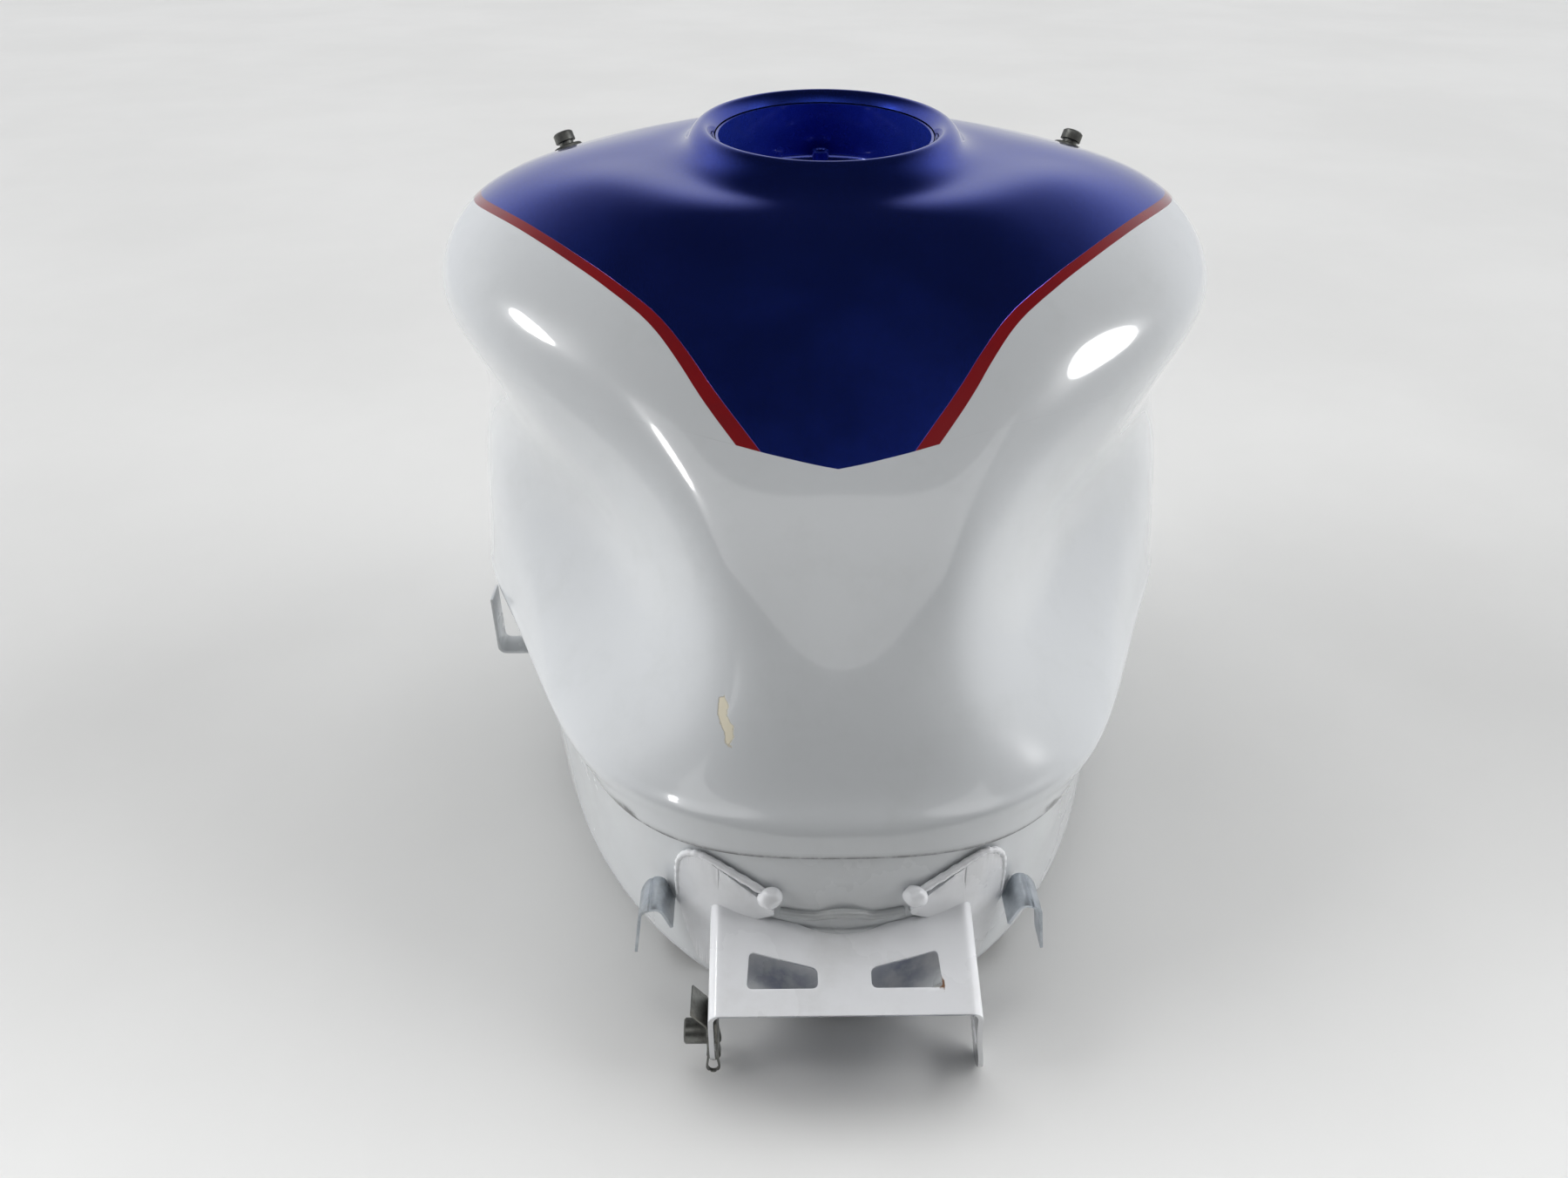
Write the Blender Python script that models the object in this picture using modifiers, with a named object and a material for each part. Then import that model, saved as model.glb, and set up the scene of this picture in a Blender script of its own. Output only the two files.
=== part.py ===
"""Motorcycle fuel tank: painted steel shell and bottom pan, recessed filler, rear bracket, fuel pump and sender.

The tank is drawn in millimetres and stored in metres. +X is the rider's right, +Y is forward, +Z is up.
"""

from math import atan2, cos, hypot, pi, radians, sin, tan

import bmesh
import bpy
import numpy as np
from mathutils import Matrix, Vector

MM = 0.001

# Overall size of the shell, and the fits shared by every piece.
TANK_WIDTH = 384.0
TANK_LENGTH = 456.0
TANK_HEIGHT = 305.0
SHEET = 1.2
GAP = 0.3

# Filler.
FILLER_Y = 67.0
FILLER_TILT = radians(4.6)
CUP_RADIUS = 54.0
LIP_RADIUS = CUP_RADIUS + 5.5
CUP_DEPTH = 34.0
CUP_CORNER = 5.0
NECK_RADIUS = 27.0
NECK_LENGTH = 42.0
CAP_SCREW_CIRCLE = (CUP_RADIUS + NECK_RADIUS + 1) / 2
CAP_BOSS_RADIUS = 4.5
CAP_BOSS_HEIGHT = 8.0
CAP_SCREW_RADIUS = 2.5
TUBE_RADIUS = 4.0
TUBE_BORE = 2.8
TUBE_CIRCLE = CUP_RADIUS - 9
TUBE_STUB = 16.0

# Pump, below and above the pan.
PUMP_Y = -105.0
PUMP_HOLE = 40.0
PUMP_RING_WIDTH = 15.0
PUMP_RING_THICK = 5.0
PUMP_BOLT_CIRCLE = PUMP_HOLE + PUMP_RING_WIDTH / 2
PUMP_BOLT_RADIUS = 2.5
PUMP_BOLTS = 5
GASKET_THICK = 2.0
FLANGE_THICK = 4.5
RESERVOIR_RADIUS = PUMP_HOLE - 6
RESERVOIR_HEIGHT = 62.0
MOTOR_RADIUS = 19.0
MOTOR_HEIGHT = 78.0

# Bottom pan.
PAN_OVERLAP = 9.0
PAN_CORNER = 12.0
CHANNEL_HALF = PUMP_HOLE + PUMP_RING_WIDTH + 15
CHANNEL_FLARE = 20.0
POCKET_HEIGHT = 28.0
TUNNEL_HEIGHT = 65.0
TUBE_EXIT_X = 42.0
TUBE_EXIT_Y = 84.0

# Level sender.
SENDER_X = RESERVOIR_RADIUS + 11
PIVOT_Y = -100.0
PIVOT_Z = 88.0
ARM_RADIUS = 1.3
PIN_LENGTH = 6.0
ARM_REACH = 86.0
ARM_DROOP = radians(30)
FLOAT_X = SENDER_X + 59
FLOAT_RADIUS = 11.0
FLOAT_LENGTH = 38.0

# Rear bracket.
BRACKET_HALF = 53.5
BRACKET_SHEET = 2.0
PLATE_REAR_Z = 41.6
PLATE_SLOPE = radians(20)
PLATE_LENGTH = 62.0
WINDOW_INNER = 10.5
WINDOW_OUTER = BRACKET_HALF - 15
LEG_WIDTH = 22.0
LEG_HOLE = 6.5
LEG_HOLE_Z = 19.0
CLIP_SHEET = 0.8
CLIP_WIDTH = 14.0
CLIP_NUT_RADIUS = 5.0
CLIP_NUT_LENGTH = 9.0
HOOK_REACH = 16.5

# Front bracket, under the pan's tunnel roof.
FRONT_BRACKET_Y = 188.0
FRONT_BRACKET_HALF = 42.0
FRONT_BRACKET_DEPTH = 34.0
FRONT_BRACKET_DROP = 14.0
GROMMET_X = 16.0
GROMMET_RADIUS = 12.0
GROMMET_WAIST = 9.0
SLEEVE_RADIUS = 6.0
SLEEVE_BORE = 4.2
SLEEVE_LENGTH = 15.0

# Mesh fineness.
COLUMNS = 40
SHELL_ROWS = 27
TURN_STEPS = 32

# The half cage's columns run from the rear middle, round the right side, to the front middle.
COLUMN_ANGLES = [0, 20, 42, 64, 86, 108, 130, 154, 180]

# Cage rows from the deck down to the seam: one (x, y, z) for each column, for the base size.
SHELL_CAGE = [
    # deck
    [(0, -30, 275), (45, -22, 280), (85, 4, 285), (108, 28, 288), (120, 50, 289), (124, 76, 290),
     (118, 112, 288), (84, 152, 286), (0, 168, 285)],
    # crest
    [(0, -54, 254), (56, -48, 259), (106, -24, 265), (141, 4, 269), (164, 34, 271), (174, 68, 271),
     (169, 112, 268), (124, 168, 264), (0, 190, 270)],
    # shoulder bulge
    [(0, -80, 231), (62, -74, 236), (118, -50, 240), (157, -24, 242), (181, 10, 242), (191, 52, 242),
     (188, 108, 240), (142, 186, 235), (0, 212, 238)],
    # under the shoulder
    [(0, -107, 208), (57, -100, 212), (108, -74, 214), (141, -46, 214), (164, -10, 214), (181, 36, 214),
     (187, 105, 212), (146, 198, 205), (0, 226, 200)],
    # waist, where the knees sit
    [(0, -134, 182), (50, -127, 185), (91, -92, 187), (121, -58, 186), (149, -18, 184), (170, 26, 182),
     (183, 105, 182), (145, 205, 180), (0, 234, 178)],
    # knee pocket
    [(0, -160, 152), (45, -151, 154), (79, -112, 155), (108, -66, 155), (149, -20, 155), (175, 25, 155),
     (184, 105, 155), (144, 209, 155), (0, 239, 155)],
    # foot of the knee pocket
    [(0, -181, 126), (48, -173, 126), (82, -140, 126), (116, -88, 125), (155, -32, 125), (179, 22, 125),
     (186, 105, 125), (143, 212, 125), (0, 242, 125)],
    # above the lower crease
    [(0, -196, 106), (51, -189, 106), (92, -164, 106), (123, -117, 105), (154, -50, 104), (179, 12, 103),
     (185, 105, 103), (142, 214, 103), (0, 244, 103)],
    # lower crease
    [(0, -204, 96), (53, -197, 96), (96, -171, 95), (125, -124, 95), (154, -54, 94), (178, 10, 93),
     (184, 105, 93), (142, 216, 93), (0, 246, 93)],
    # seam
    [(0, -207, 85), (54, -200, 84), (94, -170, 82), (119, -120, 80), (145, -52, 78), (167, 12, 77),
     (173, 105, 77), (136, 210, 78), (0, 240, 80)],
]

# Outline of the pan where its wall turns into its floor, one (x, y) for each column.
PAN_FOOT = [(0, -221), (44, -206), (77, -179), (104, -142), (127, -92), (146, -12), (150, 100), (120, 192),
            (0, 224)]

CAGE_WIDTH = 384.0
CAGE_LENGTH = 456.0
CAGE_HEIGHT = 305.0


def wide(x):
    """A position across the tank, scaled from the cage's width to the tank's."""
    return x * TANK_WIDTH / CAGE_WIDTH


def along(y):
    return y * TANK_LENGTH / CAGE_LENGTH


def high(z):
    return z * TANK_HEIGHT / CAGE_HEIGHT


# ---------------------------------------------------------------- surfaces


def lip_row(radius, drop):
    """Points of one circle round the filler, lying in the tilted plane of its lip."""
    row = []
    for angle in COLUMN_ANGLES:
        x = radius * sin(radians(angle))
        back = -radius * cos(radians(angle))
        row.append((x, along(FILLER_Y) + back, TANK_HEIGHT + back * tan(FILLER_TILT) + drop))
    return row


def shell_rows():
    rows = [
        lip_row(CUP_RADIUS, -5.0),
        lip_row(LIP_RADIUS, 0.0),
        lip_row(LIP_RADIUS + 6.5, -4.5),
        lip_row(LIP_RADIUS + 18.5, -12.0),
    ]
    for cage_row in SHELL_CAGE:
        rows.append([(wide(x), along(y), high(z)) for x, y, z in cage_row])
    return rows


def mirrored(half_rows):
    """Half rows completed round the left side, as an array of rows by columns by coordinates."""
    points = np.array(half_rows, float)
    other = points[:, -2:0:-1].copy()
    other[:, :, 0] *= -1
    return np.concatenate([points, other], axis=1)


def spline_net(points):
    """The control net of the bicubic B-spline surface that passes through these points."""
    row_count, column_count = points.shape[:2]
    around = np.zeros((column_count, column_count))
    for i in range(column_count):
        around[i, i] = 4 / 6
        around[i, (i - 1) % column_count] = 1 / 6
        around[i, (i + 1) % column_count] = 1 / 6
    net = np.einsum("ij,rjk->rik", np.linalg.inv(around), points)
    down = np.zeros((row_count + 2, row_count + 2))
    down[0, :3] = 1, -2, 1
    down[-1, -3:] = 1, -2, 1
    for i in range(row_count):
        down[i + 1, i:i + 3] = 1 / 6, 4 / 6, 1 / 6
    none = np.zeros((1, column_count, 3))
    padded = np.concatenate([none, net, none])
    return np.einsum("ij,jnk->ink", np.linalg.inv(down), padded)


def spline_weights(t):
    return np.array([(1 - t) ** 3, 3 * t**3 - 6 * t**2 + 4, -3 * t**3 + 3 * t**2 + 3 * t + 1, t**3]) / 6


def spline_points(net, rows, columns):
    """Surface points at these row and column numbers, which may lie between the cage's."""
    row_count = len(net) - 2
    column_count = net.shape[1]
    points = np.zeros((len(rows), len(columns), 3))
    for i, row in enumerate(rows):
        start = min(int(row), row_count - 2)
        line = np.tensordot(spline_weights(row - start), net[start:start + 4], axes=1)
        for j, column in enumerate(columns):
            first = int(column)
            around = [(first - 1 + k) % column_count for k in range(4)]
            points[i, j] = spline_weights(column - first) @ line[around]
    return points


def outward_normals(points):
    """Unit normals of a grid that is closed across its columns and open down its rows."""
    across = np.roll(points, -1, axis=1) - np.roll(points, 1, axis=1)
    down = np.gradient(points, axis=0)
    normals = np.cross(down, across)
    return normals / np.linalg.norm(normals, axis=2, keepdims=True)


def shell_net():
    return spline_net(mirrored(shell_rows()))


def cage_columns():
    return np.linspace(0, 2 * (len(COLUMN_ANGLES) - 1), COLUMNS, endpoint=False)


def shell_grid():
    last = len(shell_rows()) - 1
    return spline_points(shell_net(), np.linspace(0, last, SHELL_ROWS), cage_columns())


def pan_wall_rows():
    """Outside of the pan's wall, from the rim inside the shell down to where the floor starts."""
    last = len(shell_rows()) - 1
    net = shell_net()
    columns = cage_columns()
    near_seam = spline_points(net, [last - 1, last - 0.6, last - 0.2, last], columns)
    tucked = near_seam - outward_normals(near_seam) * (SHEET + GAP)
    rim = tucked[1]
    seam = tucked[3]
    foot_points = mirrored([[(wide(x), along(y), PAN_CORNER) for x, y in PAN_FOOT]] * 2)
    foot = spline_points(spline_net(foot_points), [0], columns)[0]
    rows = [rim, seam]
    for share in (0.12, 0.4, 0.72, 1.0):
        row = seam + (foot - seam) * (share ** 0.8)
        row[:, 2] = seam[:, 2] + (foot[:, 2] - seam[:, 2]) * share
        rows.append(row)
    return rows


def pan_bowl_rows(inset):
    """Wall, rounded corner and edge of the flat floor of the pan, drawn this far inside its outer surface."""
    rows = np.array(pan_wall_rows())
    rows = rows - outward_normals(rows) * inset
    rows[-1, :, 2] = PAN_CORNER
    foot = rows[-1]
    middle = np.array([0, along(PUMP_Y), 0])
    inward = (middle - foot) * (1, 1, 0)
    inward = inward / np.linalg.norm(inward, axis=1, keepdims=True)
    corner = [foot]
    radius = PAN_CORNER - inset
    for turn in (30, 60, 90):
        down = np.array([0, 0, radius * sin(radians(turn))])
        corner.append(foot + inward * radius * (1 - cos(radians(turn))) - down)
    rows = list(rows) + corner[1:]
    if inset:
        rows = [rows[0] + (0, 0, 30)] + rows
    return np.array(rows)


# ---------------------------------------------------------------- scene helpers


def clear_scene():
    for obj in list(bpy.data.objects):
        bpy.data.objects.remove(obj, do_unlink=True)
    for collection in list(bpy.data.collections):
        bpy.data.collections.remove(collection)


def make_collection(name):
    collection = bpy.data.collections.new(name)
    bpy.context.scene.collection.children.link(collection)
    return collection


def make_material(name, colour, roughness, metallic=0.0):
    material = bpy.data.materials.new(name)
    material.use_nodes = True
    surface = material.node_tree.nodes["Principled BSDF"]
    surface.inputs["Base Color"].default_value = (*colour, 1.0)
    surface.inputs["Roughness"].default_value = roughness
    surface.inputs["Metallic"].default_value = metallic
    return material


def add_object(name, data, material, helper=False):
    obj = bpy.data.objects.new(name, data)
    if material is not None:
        data.materials.append(material)
    if helper:
        obj.hide_render = True
        obj.display_type = "WIRE"
        HELPERS.objects.link(obj)
    else:
        TANK.objects.link(obj)
    return obj


def mesh_from(name, vertices, faces):
    mesh = bpy.data.meshes.new(name)
    mesh.from_pydata([tuple(float(c) * MM for c in vertex) for vertex in vertices], [], faces)
    mesh.update()
    return mesh


def grid_faces(row_count, column_count):
    faces = []
    for i in range(row_count - 1):
        for j in range(column_count):
            k = (j + 1) % column_count
            faces.append((i * column_count + j, (i + 1) * column_count + j,
                          (i + 1) * column_count + k, i * column_count + k))
    return faces


def smooth(obj):
    for polygon in obj.data.polygons:
        polygon.use_smooth = True


def add_solidify(obj, thickness, offset):
    solidify = obj.modifiers.new("thickness", "SOLIDIFY")
    solidify.thickness = thickness * MM
    solidify.offset = offset
    solidify.use_quality_normals = True
    return solidify


def add_bevel(obj, width, segments=2):
    bevel = obj.modifiers.new("edges", "BEVEL")
    bevel.width = width * MM
    bevel.segments = segments
    bevel.limit_method = "ANGLE"
    bevel.angle_limit = radians(40)
    return bevel


def add_boolean(obj, other, operation):
    boolean = obj.modifiers.new(operation.lower(), "BOOLEAN")
    boolean.operation = operation
    boolean.object = other
    boolean.solver = "EXACT"
    return boolean


def sheet_from_grid(name, points, material, thickness, offset=-1.0):
    """A closed sheet whose drawn side is this grid; offset -1 puts the thickness inside it."""
    row_count, column_count = points.shape[:2]
    mesh = mesh_from(name, points.reshape(-1, 3), grid_faces(row_count, column_count))
    obj = add_object(name, mesh, material)
    smooth(obj)
    add_solidify(obj, thickness, offset)
    return obj


def turned(name, profile, material, steps=TURN_STEPS, helper=False):
    """A solid turned about Z. The profile runs down its outer side; it closes on itself off the axis."""
    on_axis = profile[0][0] == 0 and profile[-1][0] == 0
    count = len(profile)
    edges = [(i, i + 1) for i in range(count - 1)]
    if not on_axis:
        edges.append((count - 1, 0))
    mesh = bpy.data.meshes.new(name)
    mesh.from_pydata([(r * MM, 0, z * MM) for r, z in profile], edges, [])
    obj = add_object(name, mesh, material, helper)
    screw = obj.modifiers.new("turn", "SCREW")
    screw.axis = "Z"
    screw.steps = steps
    screw.render_steps = steps
    screw.use_merge_vertices = True
    screw.merge_threshold = 0.00005
    screw.use_smooth_shade = True
    return obj


def ring_profile(inner, outer, bottom, top):
    return [(outer, top), (outer, bottom), (inner, bottom), (inner, top)]


def disc_profile(radius, bottom, top):
    return [(0, top), (radius, top), (radius, bottom), (0, bottom)]


def place(obj, x, y, z, turn_x=0.0, turn_y=0.0, turn_z=0.0):
    obj.location = (x * MM, y * MM, z * MM)
    obj.rotation_euler = (turn_x, turn_y, turn_z)
    return obj


def box(name, x0, x1, y0, y1, z0, z1, material, helper=False):
    corners = [(x, y, z) for x in (x0, x1) for y in (y0, y1) for z in (z0, z1)]
    faces = [(0, 1, 3, 2), (4, 6, 7, 5), (0, 4, 5, 1), (2, 3, 7, 6), (0, 2, 6, 4), (1, 5, 7, 3)]
    return add_object(name, mesh_from(name, corners, faces), material, helper)


def wire(name, points, radius, material, bore=0.0):
    """A round bar along a smooth path, or a tube if it has a bore."""
    curve = bpy.data.curves.new(name, "CURVE")
    curve.dimensions = "3D"
    curve.bevel_depth = radius * MM
    curve.bevel_resolution = 2
    curve.use_fill_caps = bore == 0
    spline = curve.splines.new("POLY")
    spline.points.add(len(points) - 1)
    for target, (x, y, z) in zip(spline.points, points):
        target.co = (x * MM, y * MM, z * MM, 1)
    obj = add_object(name, curve, material)
    if bore:
        add_solidify(obj, radius - bore, -1.0)
    return obj


def rounded_path(corners, radius, steps=5):
    """The corners joined by straight lines, with each turn rounded."""
    corners = [Vector(corner) for corner in corners]
    path = [corners[0]]
    for before, corner, after in zip(corners, corners[1:], corners[2:]):
        start = corner + (before - corner).normalized() * radius
        end = corner + (after - corner).normalized() * radius
        for i in range(steps + 1):
            t = i / steps
            path.append(start * (1 - t) ** 2 + corner * 2 * t * (1 - t) + end * t * t)
    path.append(corners[-1])
    return path


def circle_outline(x, y, radius, steps=24):
    return [(x + radius * cos(2 * pi * i / steps), y + radius * sin(2 * pi * i / steps)) for i in range(steps)]


def rounded_outline(corners, radius, steps=4):
    """A closed flat outline with its corners rounded."""
    count = len(corners)
    outline = []
    for i in range(count):
        before = Vector(corners[i - 1])
        corner = Vector(corners[i])
        after = Vector(corners[(i + 1) % count])
        cut = min(radius, (before - corner).length * 0.45, (after - corner).length * 0.45)
        start = corner + (before - corner).normalized() * cut
        end = corner + (after - corner).normalized() * cut
        for step in range(steps + 1):
            t = step / steps
            point = start * (1 - t) ** 2 + corner * 2 * t * (1 - t) + end * t * t
            outline.append((point.x, point.y))
    return outline


def plate(name, outline, holes, thickness, material, matrix, helper=False):
    """A flat plate with holes, centred on its own plane, then placed by the matrix (millimetres)."""
    curve = bpy.data.curves.new(name, "CURVE")
    curve.dimensions = "2D"
    curve.fill_mode = "BOTH"
    curve.extrude = thickness / 2 * MM
    for loop in [outline] + holes:
        spline = curve.splines.new("POLY")
        spline.points.add(len(loop) - 1)
        for target, (x, y) in zip(spline.points, loop):
            target.co = (x * MM, y * MM, 0, 1)
        spline.use_cyclic_u = True
    source = bpy.data.objects.new(name + "_outline", curve)
    HELPERS.objects.link(source)
    bpy.context.view_layer.update()
    flat = source.evaluated_get(bpy.context.evaluated_depsgraph_get())
    mesh = bpy.data.meshes.new_from_object(flat)
    mesh.name = name
    bpy.data.objects.remove(source)
    shaper = bmesh.new()
    shaper.from_mesh(mesh)
    bmesh.ops.remove_doubles(shaper, verts=shaper.verts, dist=0.000001)
    bmesh.ops.recalc_face_normals(shaper, faces=shaper.faces)
    shaper.to_mesh(mesh)
    shaper.free()
    mesh.transform(matrix)
    mesh.materials.clear()
    return add_object(name, mesh, material, helper)


def plane(origin, across, up):
    """Matrix that lays a plate's own X along across and its own Y along up, at origin in millimetres."""
    across = Vector(across).normalized()
    up = Vector(up).normalized()
    normal = across.cross(up)
    matrix = Matrix((across, up, normal)).transposed().to_4x4()
    matrix.translation = Vector(origin) * MM
    return matrix


def strip(name, path, width_vector, thickness, material):
    """A bent strap: a path swept sideways by a vector, then given its thickness."""
    vertices = []
    for point in path:
        vertices.append(Vector(point))
        vertices.append(Vector(point) + Vector(width_vector))
    faces = [(2 * i, 2 * i + 1, 2 * i + 3, 2 * i + 2) for i in range(len(path) - 1)]
    obj = add_object(name, mesh_from(name, vertices, faces), material)
    add_solidify(obj, thickness, 0.0)
    return obj


# ---------------------------------------------------------------- shell, pan and filler


def make_upper_shell():
    return sheet_from_grid("upper_shell", shell_grid(), PAINT_WHITE, SHEET)


def closed_rows(name, rows, material=None, helper=True):
    """A solid whose sides are these rings of points, capped by its first and last ring."""
    rows = np.asarray(rows)
    count = rows.shape[1]
    faces = grid_faces(len(rows), count)
    faces.append(tuple(range(count)))
    faces.append(tuple(reversed(range((len(rows) - 1) * count, len(rows) * count))))
    obj = add_object(name, mesh_from(name, rows.reshape(-1, 3), faces), material, helper)
    shaper = bmesh.new()
    shaper.from_mesh(obj.data)
    bmesh.ops.recalc_face_normals(shaper, faces=shaper.faces)
    shaper.to_mesh(obj.data)
    shaper.free()
    return obj


def channel_section(y, height, grow):
    """One rounded arch across the pan: its feet are below the floor and its roof is at this height."""
    top = CHANNEL_HALF + grow
    low = -30.0
    flare = CHANNEL_FLARE * max(height, 1.0) / TUNNEL_HEIGHT
    roof = height + grow
    round_off = min(12.0, height * 0.7)
    half = [(top + flare * (1 - low / max(height, 10.0)), low), (top + flare, 0.0)]
    for turn in (0, 30, 60, 90):
        x = top - round_off + round_off * cos(radians(turn))
        half.append((x + flare * 0.25 * cos(radians(turn)), roof - round_off + round_off * sin(radians(turn))))
    right = [(x, y, z) for x, z in half]
    left = [(-x, y, z) for x, z in reversed(half)]
    return right + left


def make_channel(name, grow):
    """The hollow under the pan: a low pocket for the pump's cover, rising into the front tunnel."""
    ring = PUMP_HOLE + PUMP_RING_WIDTH
    rear = along(PUMP_Y) - ring - 6
    front = along(PUMP_Y) + ring + 8
    ramp = along(12) - front
    stations = [(rear - 24 - grow, 1.0), (rear - 18 - grow, POCKET_HEIGHT * 0.55)]
    stations += [(rear - 8 - grow, POCKET_HEIGHT * 0.92), (rear - grow, POCKET_HEIGHT), (front, POCKET_HEIGHT)]
    stations += [(front + ramp * 0.222, POCKET_HEIGHT + 4), (front + ramp * 0.741, TUNNEL_HEIGHT - 5)]
    stations += [(along(12), TUNNEL_HEIGHT), (along(290), TUNNEL_HEIGHT)]
    rows = [channel_section(y, height, grow) for y, height in stations]
    return closed_rows(name, rows)


def make_bottom_pan():
    """A bowl with a channel pressed up into its floor, cut out inside to the sheet's thickness."""
    pan = closed_rows("bottom_pan", pan_bowl_rows(0.0), PAINT_WHITE, helper=False)
    add_boolean(pan, make_channel("channel", 0.0), "DIFFERENCE")
    inside = closed_rows("pan_inside", pan_bowl_rows(SHEET))
    add_boolean(inside, make_channel("channel_inside", SHEET), "DIFFERENCE")
    add_boolean(pan, inside, "DIFFERENCE")
    drill = turned("pump_hole", disc_profile(PUMP_HOLE, -10, 10), None, helper=True)
    pump_place(drill)
    add_boolean(pan, drill, "DIFFERENCE")
    for side in (-1, 1):
        x, y = side * TUBE_EXIT_X, along(TUBE_EXIT_Y)
        drill = turned(f"pan_drill_{side}", disc_profile(TUBE_RADIUS + GAP, -10, 10), None, 16, helper=True)
        place(drill, x, y, TUNNEL_HEIGHT)
        add_boolean(pan, drill, "DIFFERENCE")
    return pan


def filler_place(obj, x=0.0, y=0.0, z=0.0):
    """Places an object by coordinates of the filler, whose Z runs up its tilted axis from the lip's plane."""
    turn = Matrix.Rotation(FILLER_TILT, 3, "X")
    centre = Vector((0, along(FILLER_Y), TANK_HEIGHT))
    spot = centre + turn @ Vector((x, y, z))
    return place(obj, *spot, turn_x=FILLER_TILT)


def cup_floor():
    """Height of the upper side of the cup's floor, in the filler's coordinates."""
    return -CUP_DEPTH


def cup_outer():
    """The cup clears the flats between the lip's columns, which are at most a fifteenth of a turn apart."""
    widest_step = 2 * pi / 14 * 2 * (len(COLUMN_ANGLES) - 1) / COLUMNS
    return CUP_RADIUS * cos(widest_step / 2) - GAP


def make_filler_cup():
    outer = cup_outer()
    floor = cup_floor()
    outer_turn = []
    inner_turn = []
    for angle in (0, 30, 60, 90):
        side = cos(radians(angle))
        down = sin(radians(angle))
        outer_turn.append((outer - CUP_CORNER + CUP_CORNER * side, floor - SHEET + CUP_CORNER * (1 - down)))
        small = CUP_CORNER - SHEET
        inner_turn.append((outer - CUP_CORNER + small * side, floor + small * (1 - down)))
    hole = NECK_RADIUS + GAP
    profile = [(outer, -5.5)] + outer_turn + [(hole, floor - SHEET), (hole, floor)]
    profile += inner_turn[::-1] + [(outer - SHEET, -5.5)]
    cup = filler_place(turned("filler_cup", profile, PAINT_BLUE, COLUMNS))
    for side in (-1, 1):
        drill = turned(f"cup_drill_{side}", disc_profile(TUBE_RADIUS + GAP, -8, 8), None, 16, helper=True)
        filler_place(drill, *tube_top(side)[:2], floor)
        add_boolean(cup, drill, "DIFFERENCE")
    return cup


def make_filler_neck():
    top = cup_floor() + 2.0
    profile = ring_profile(NECK_RADIUS - SHEET, NECK_RADIUS, top - NECK_LENGTH, top)
    return filler_place(turned("filler_neck", profile, PAINT_BLUE, TURN_STEPS))


def make_cap_bosses():
    for number, angle in enumerate((0, 120, 240), 1):
        base = cup_floor() + GAP
        top = base + CAP_BOSS_HEIGHT
        profile = [(CAP_SCREW_RADIUS, top), (CAP_BOSS_RADIUS, top), (CAP_BOSS_RADIUS, base), (0, base),
                   (0, base + 1.5), (CAP_SCREW_RADIUS, base + 1.5)]
        boss = turned(f"cap_boss_{number}", [(0, base + 1.5), (CAP_SCREW_RADIUS, base + 1.5)] + profile[:4],
                      PAINT_BLUE, 20)
        x = CAP_SCREW_CIRCLE * sin(radians(angle))
        y = CAP_SCREW_CIRCLE * cos(radians(angle))
        filler_place(boss, x, y, 0)


def tube_top(side):
    """Where a tube starts at the cup's floor, in the filler's coordinates."""
    angle = radians(62)
    return (side * TUBE_CIRCLE * sin(angle) * 0.98, TUBE_CIRCLE * cos(angle) * 0.98, cup_floor() + 1.0)


def make_tubes():
    turn = Matrix.Rotation(FILLER_TILT, 3, "X")
    centre = Vector((0, along(FILLER_Y), TANK_HEIGHT))
    for side, name in ((-1, "overflow_tube"), (1, "breather_tube")):
        top = centre + turn @ Vector(tube_top(side))
        below = centre + turn @ (Vector(tube_top(side)) + Vector((0, 0, -30)))
        exit_x, exit_y = side * TUBE_EXIT_X, along(TUBE_EXIT_Y)
        corners = [top, below, (exit_x, exit_y, TUNNEL_HEIGHT + 40), (exit_x, exit_y, TUNNEL_HEIGHT - TUBE_STUB)]
        wire(name, rounded_path(corners, 12.0), TUBE_RADIUS, STEEL, TUBE_BORE)


def make_slosh_baffle():
    """An upright plate with holes, standing on the tunnel's roof in front of the pump."""
    foot = TUNNEL_HEIGHT + SHEET + GAP
    outline = [(-54, foot), (54, foot), (wide(118), foot + 46), (wide(118), high(176)), (60, high(196)),
               (-60, high(196)), (wide(-118), high(176)), (wide(-118), foot + 46)]
    holes = [circle_outline(x, high(z), 13.0, 20) for x, z in ((-72, 140), (0, 150), (72, 140))]
    holes += [circle_outline(x, high(100), 10.0, 20) for x in (-30, 30)]
    spot = plane((0, along(46), 0), (1, 0, 0), (0, 0, 1))
    plate("slosh_baffle", rounded_outline(outline, 10.0), holes, 1.5, STEEL, spot)


# ---------------------------------------------------------------- pump


def pump_place(obj, x=0.0, y=0.0, z=0.0):
    return place(obj, x, along(PUMP_Y) + y, POCKET_HEIGHT + z)


def bolt_angles():
    return [2 * pi * (i + 0.25) / PUMP_BOLTS for i in range(PUMP_BOLTS)]


def drill_bolt_holes(obj, name, low, high_end):
    for number, angle in enumerate(bolt_angles(), 1):
        drill = turned(f"{name}_drill_{number}", disc_profile(PUMP_BOLT_RADIUS + GAP, low, high_end), None, 12,
                       helper=True)
        pump_place(drill, PUMP_BOLT_CIRCLE * cos(angle), PUMP_BOLT_CIRCLE * sin(angle))
        add_boolean(obj, drill, "DIFFERENCE")


def make_pump_ring():
    """Welded on the inside of the pan round the hole; the bolts screw into it."""
    base = SHEET + 2 * GAP
    profile = ring_profile(PUMP_HOLE + 1, PUMP_HOLE + PUMP_RING_WIDTH, base, base + PUMP_RING_THICK)
    return pump_place(turned("pump_ring", profile, STEEL))


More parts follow.
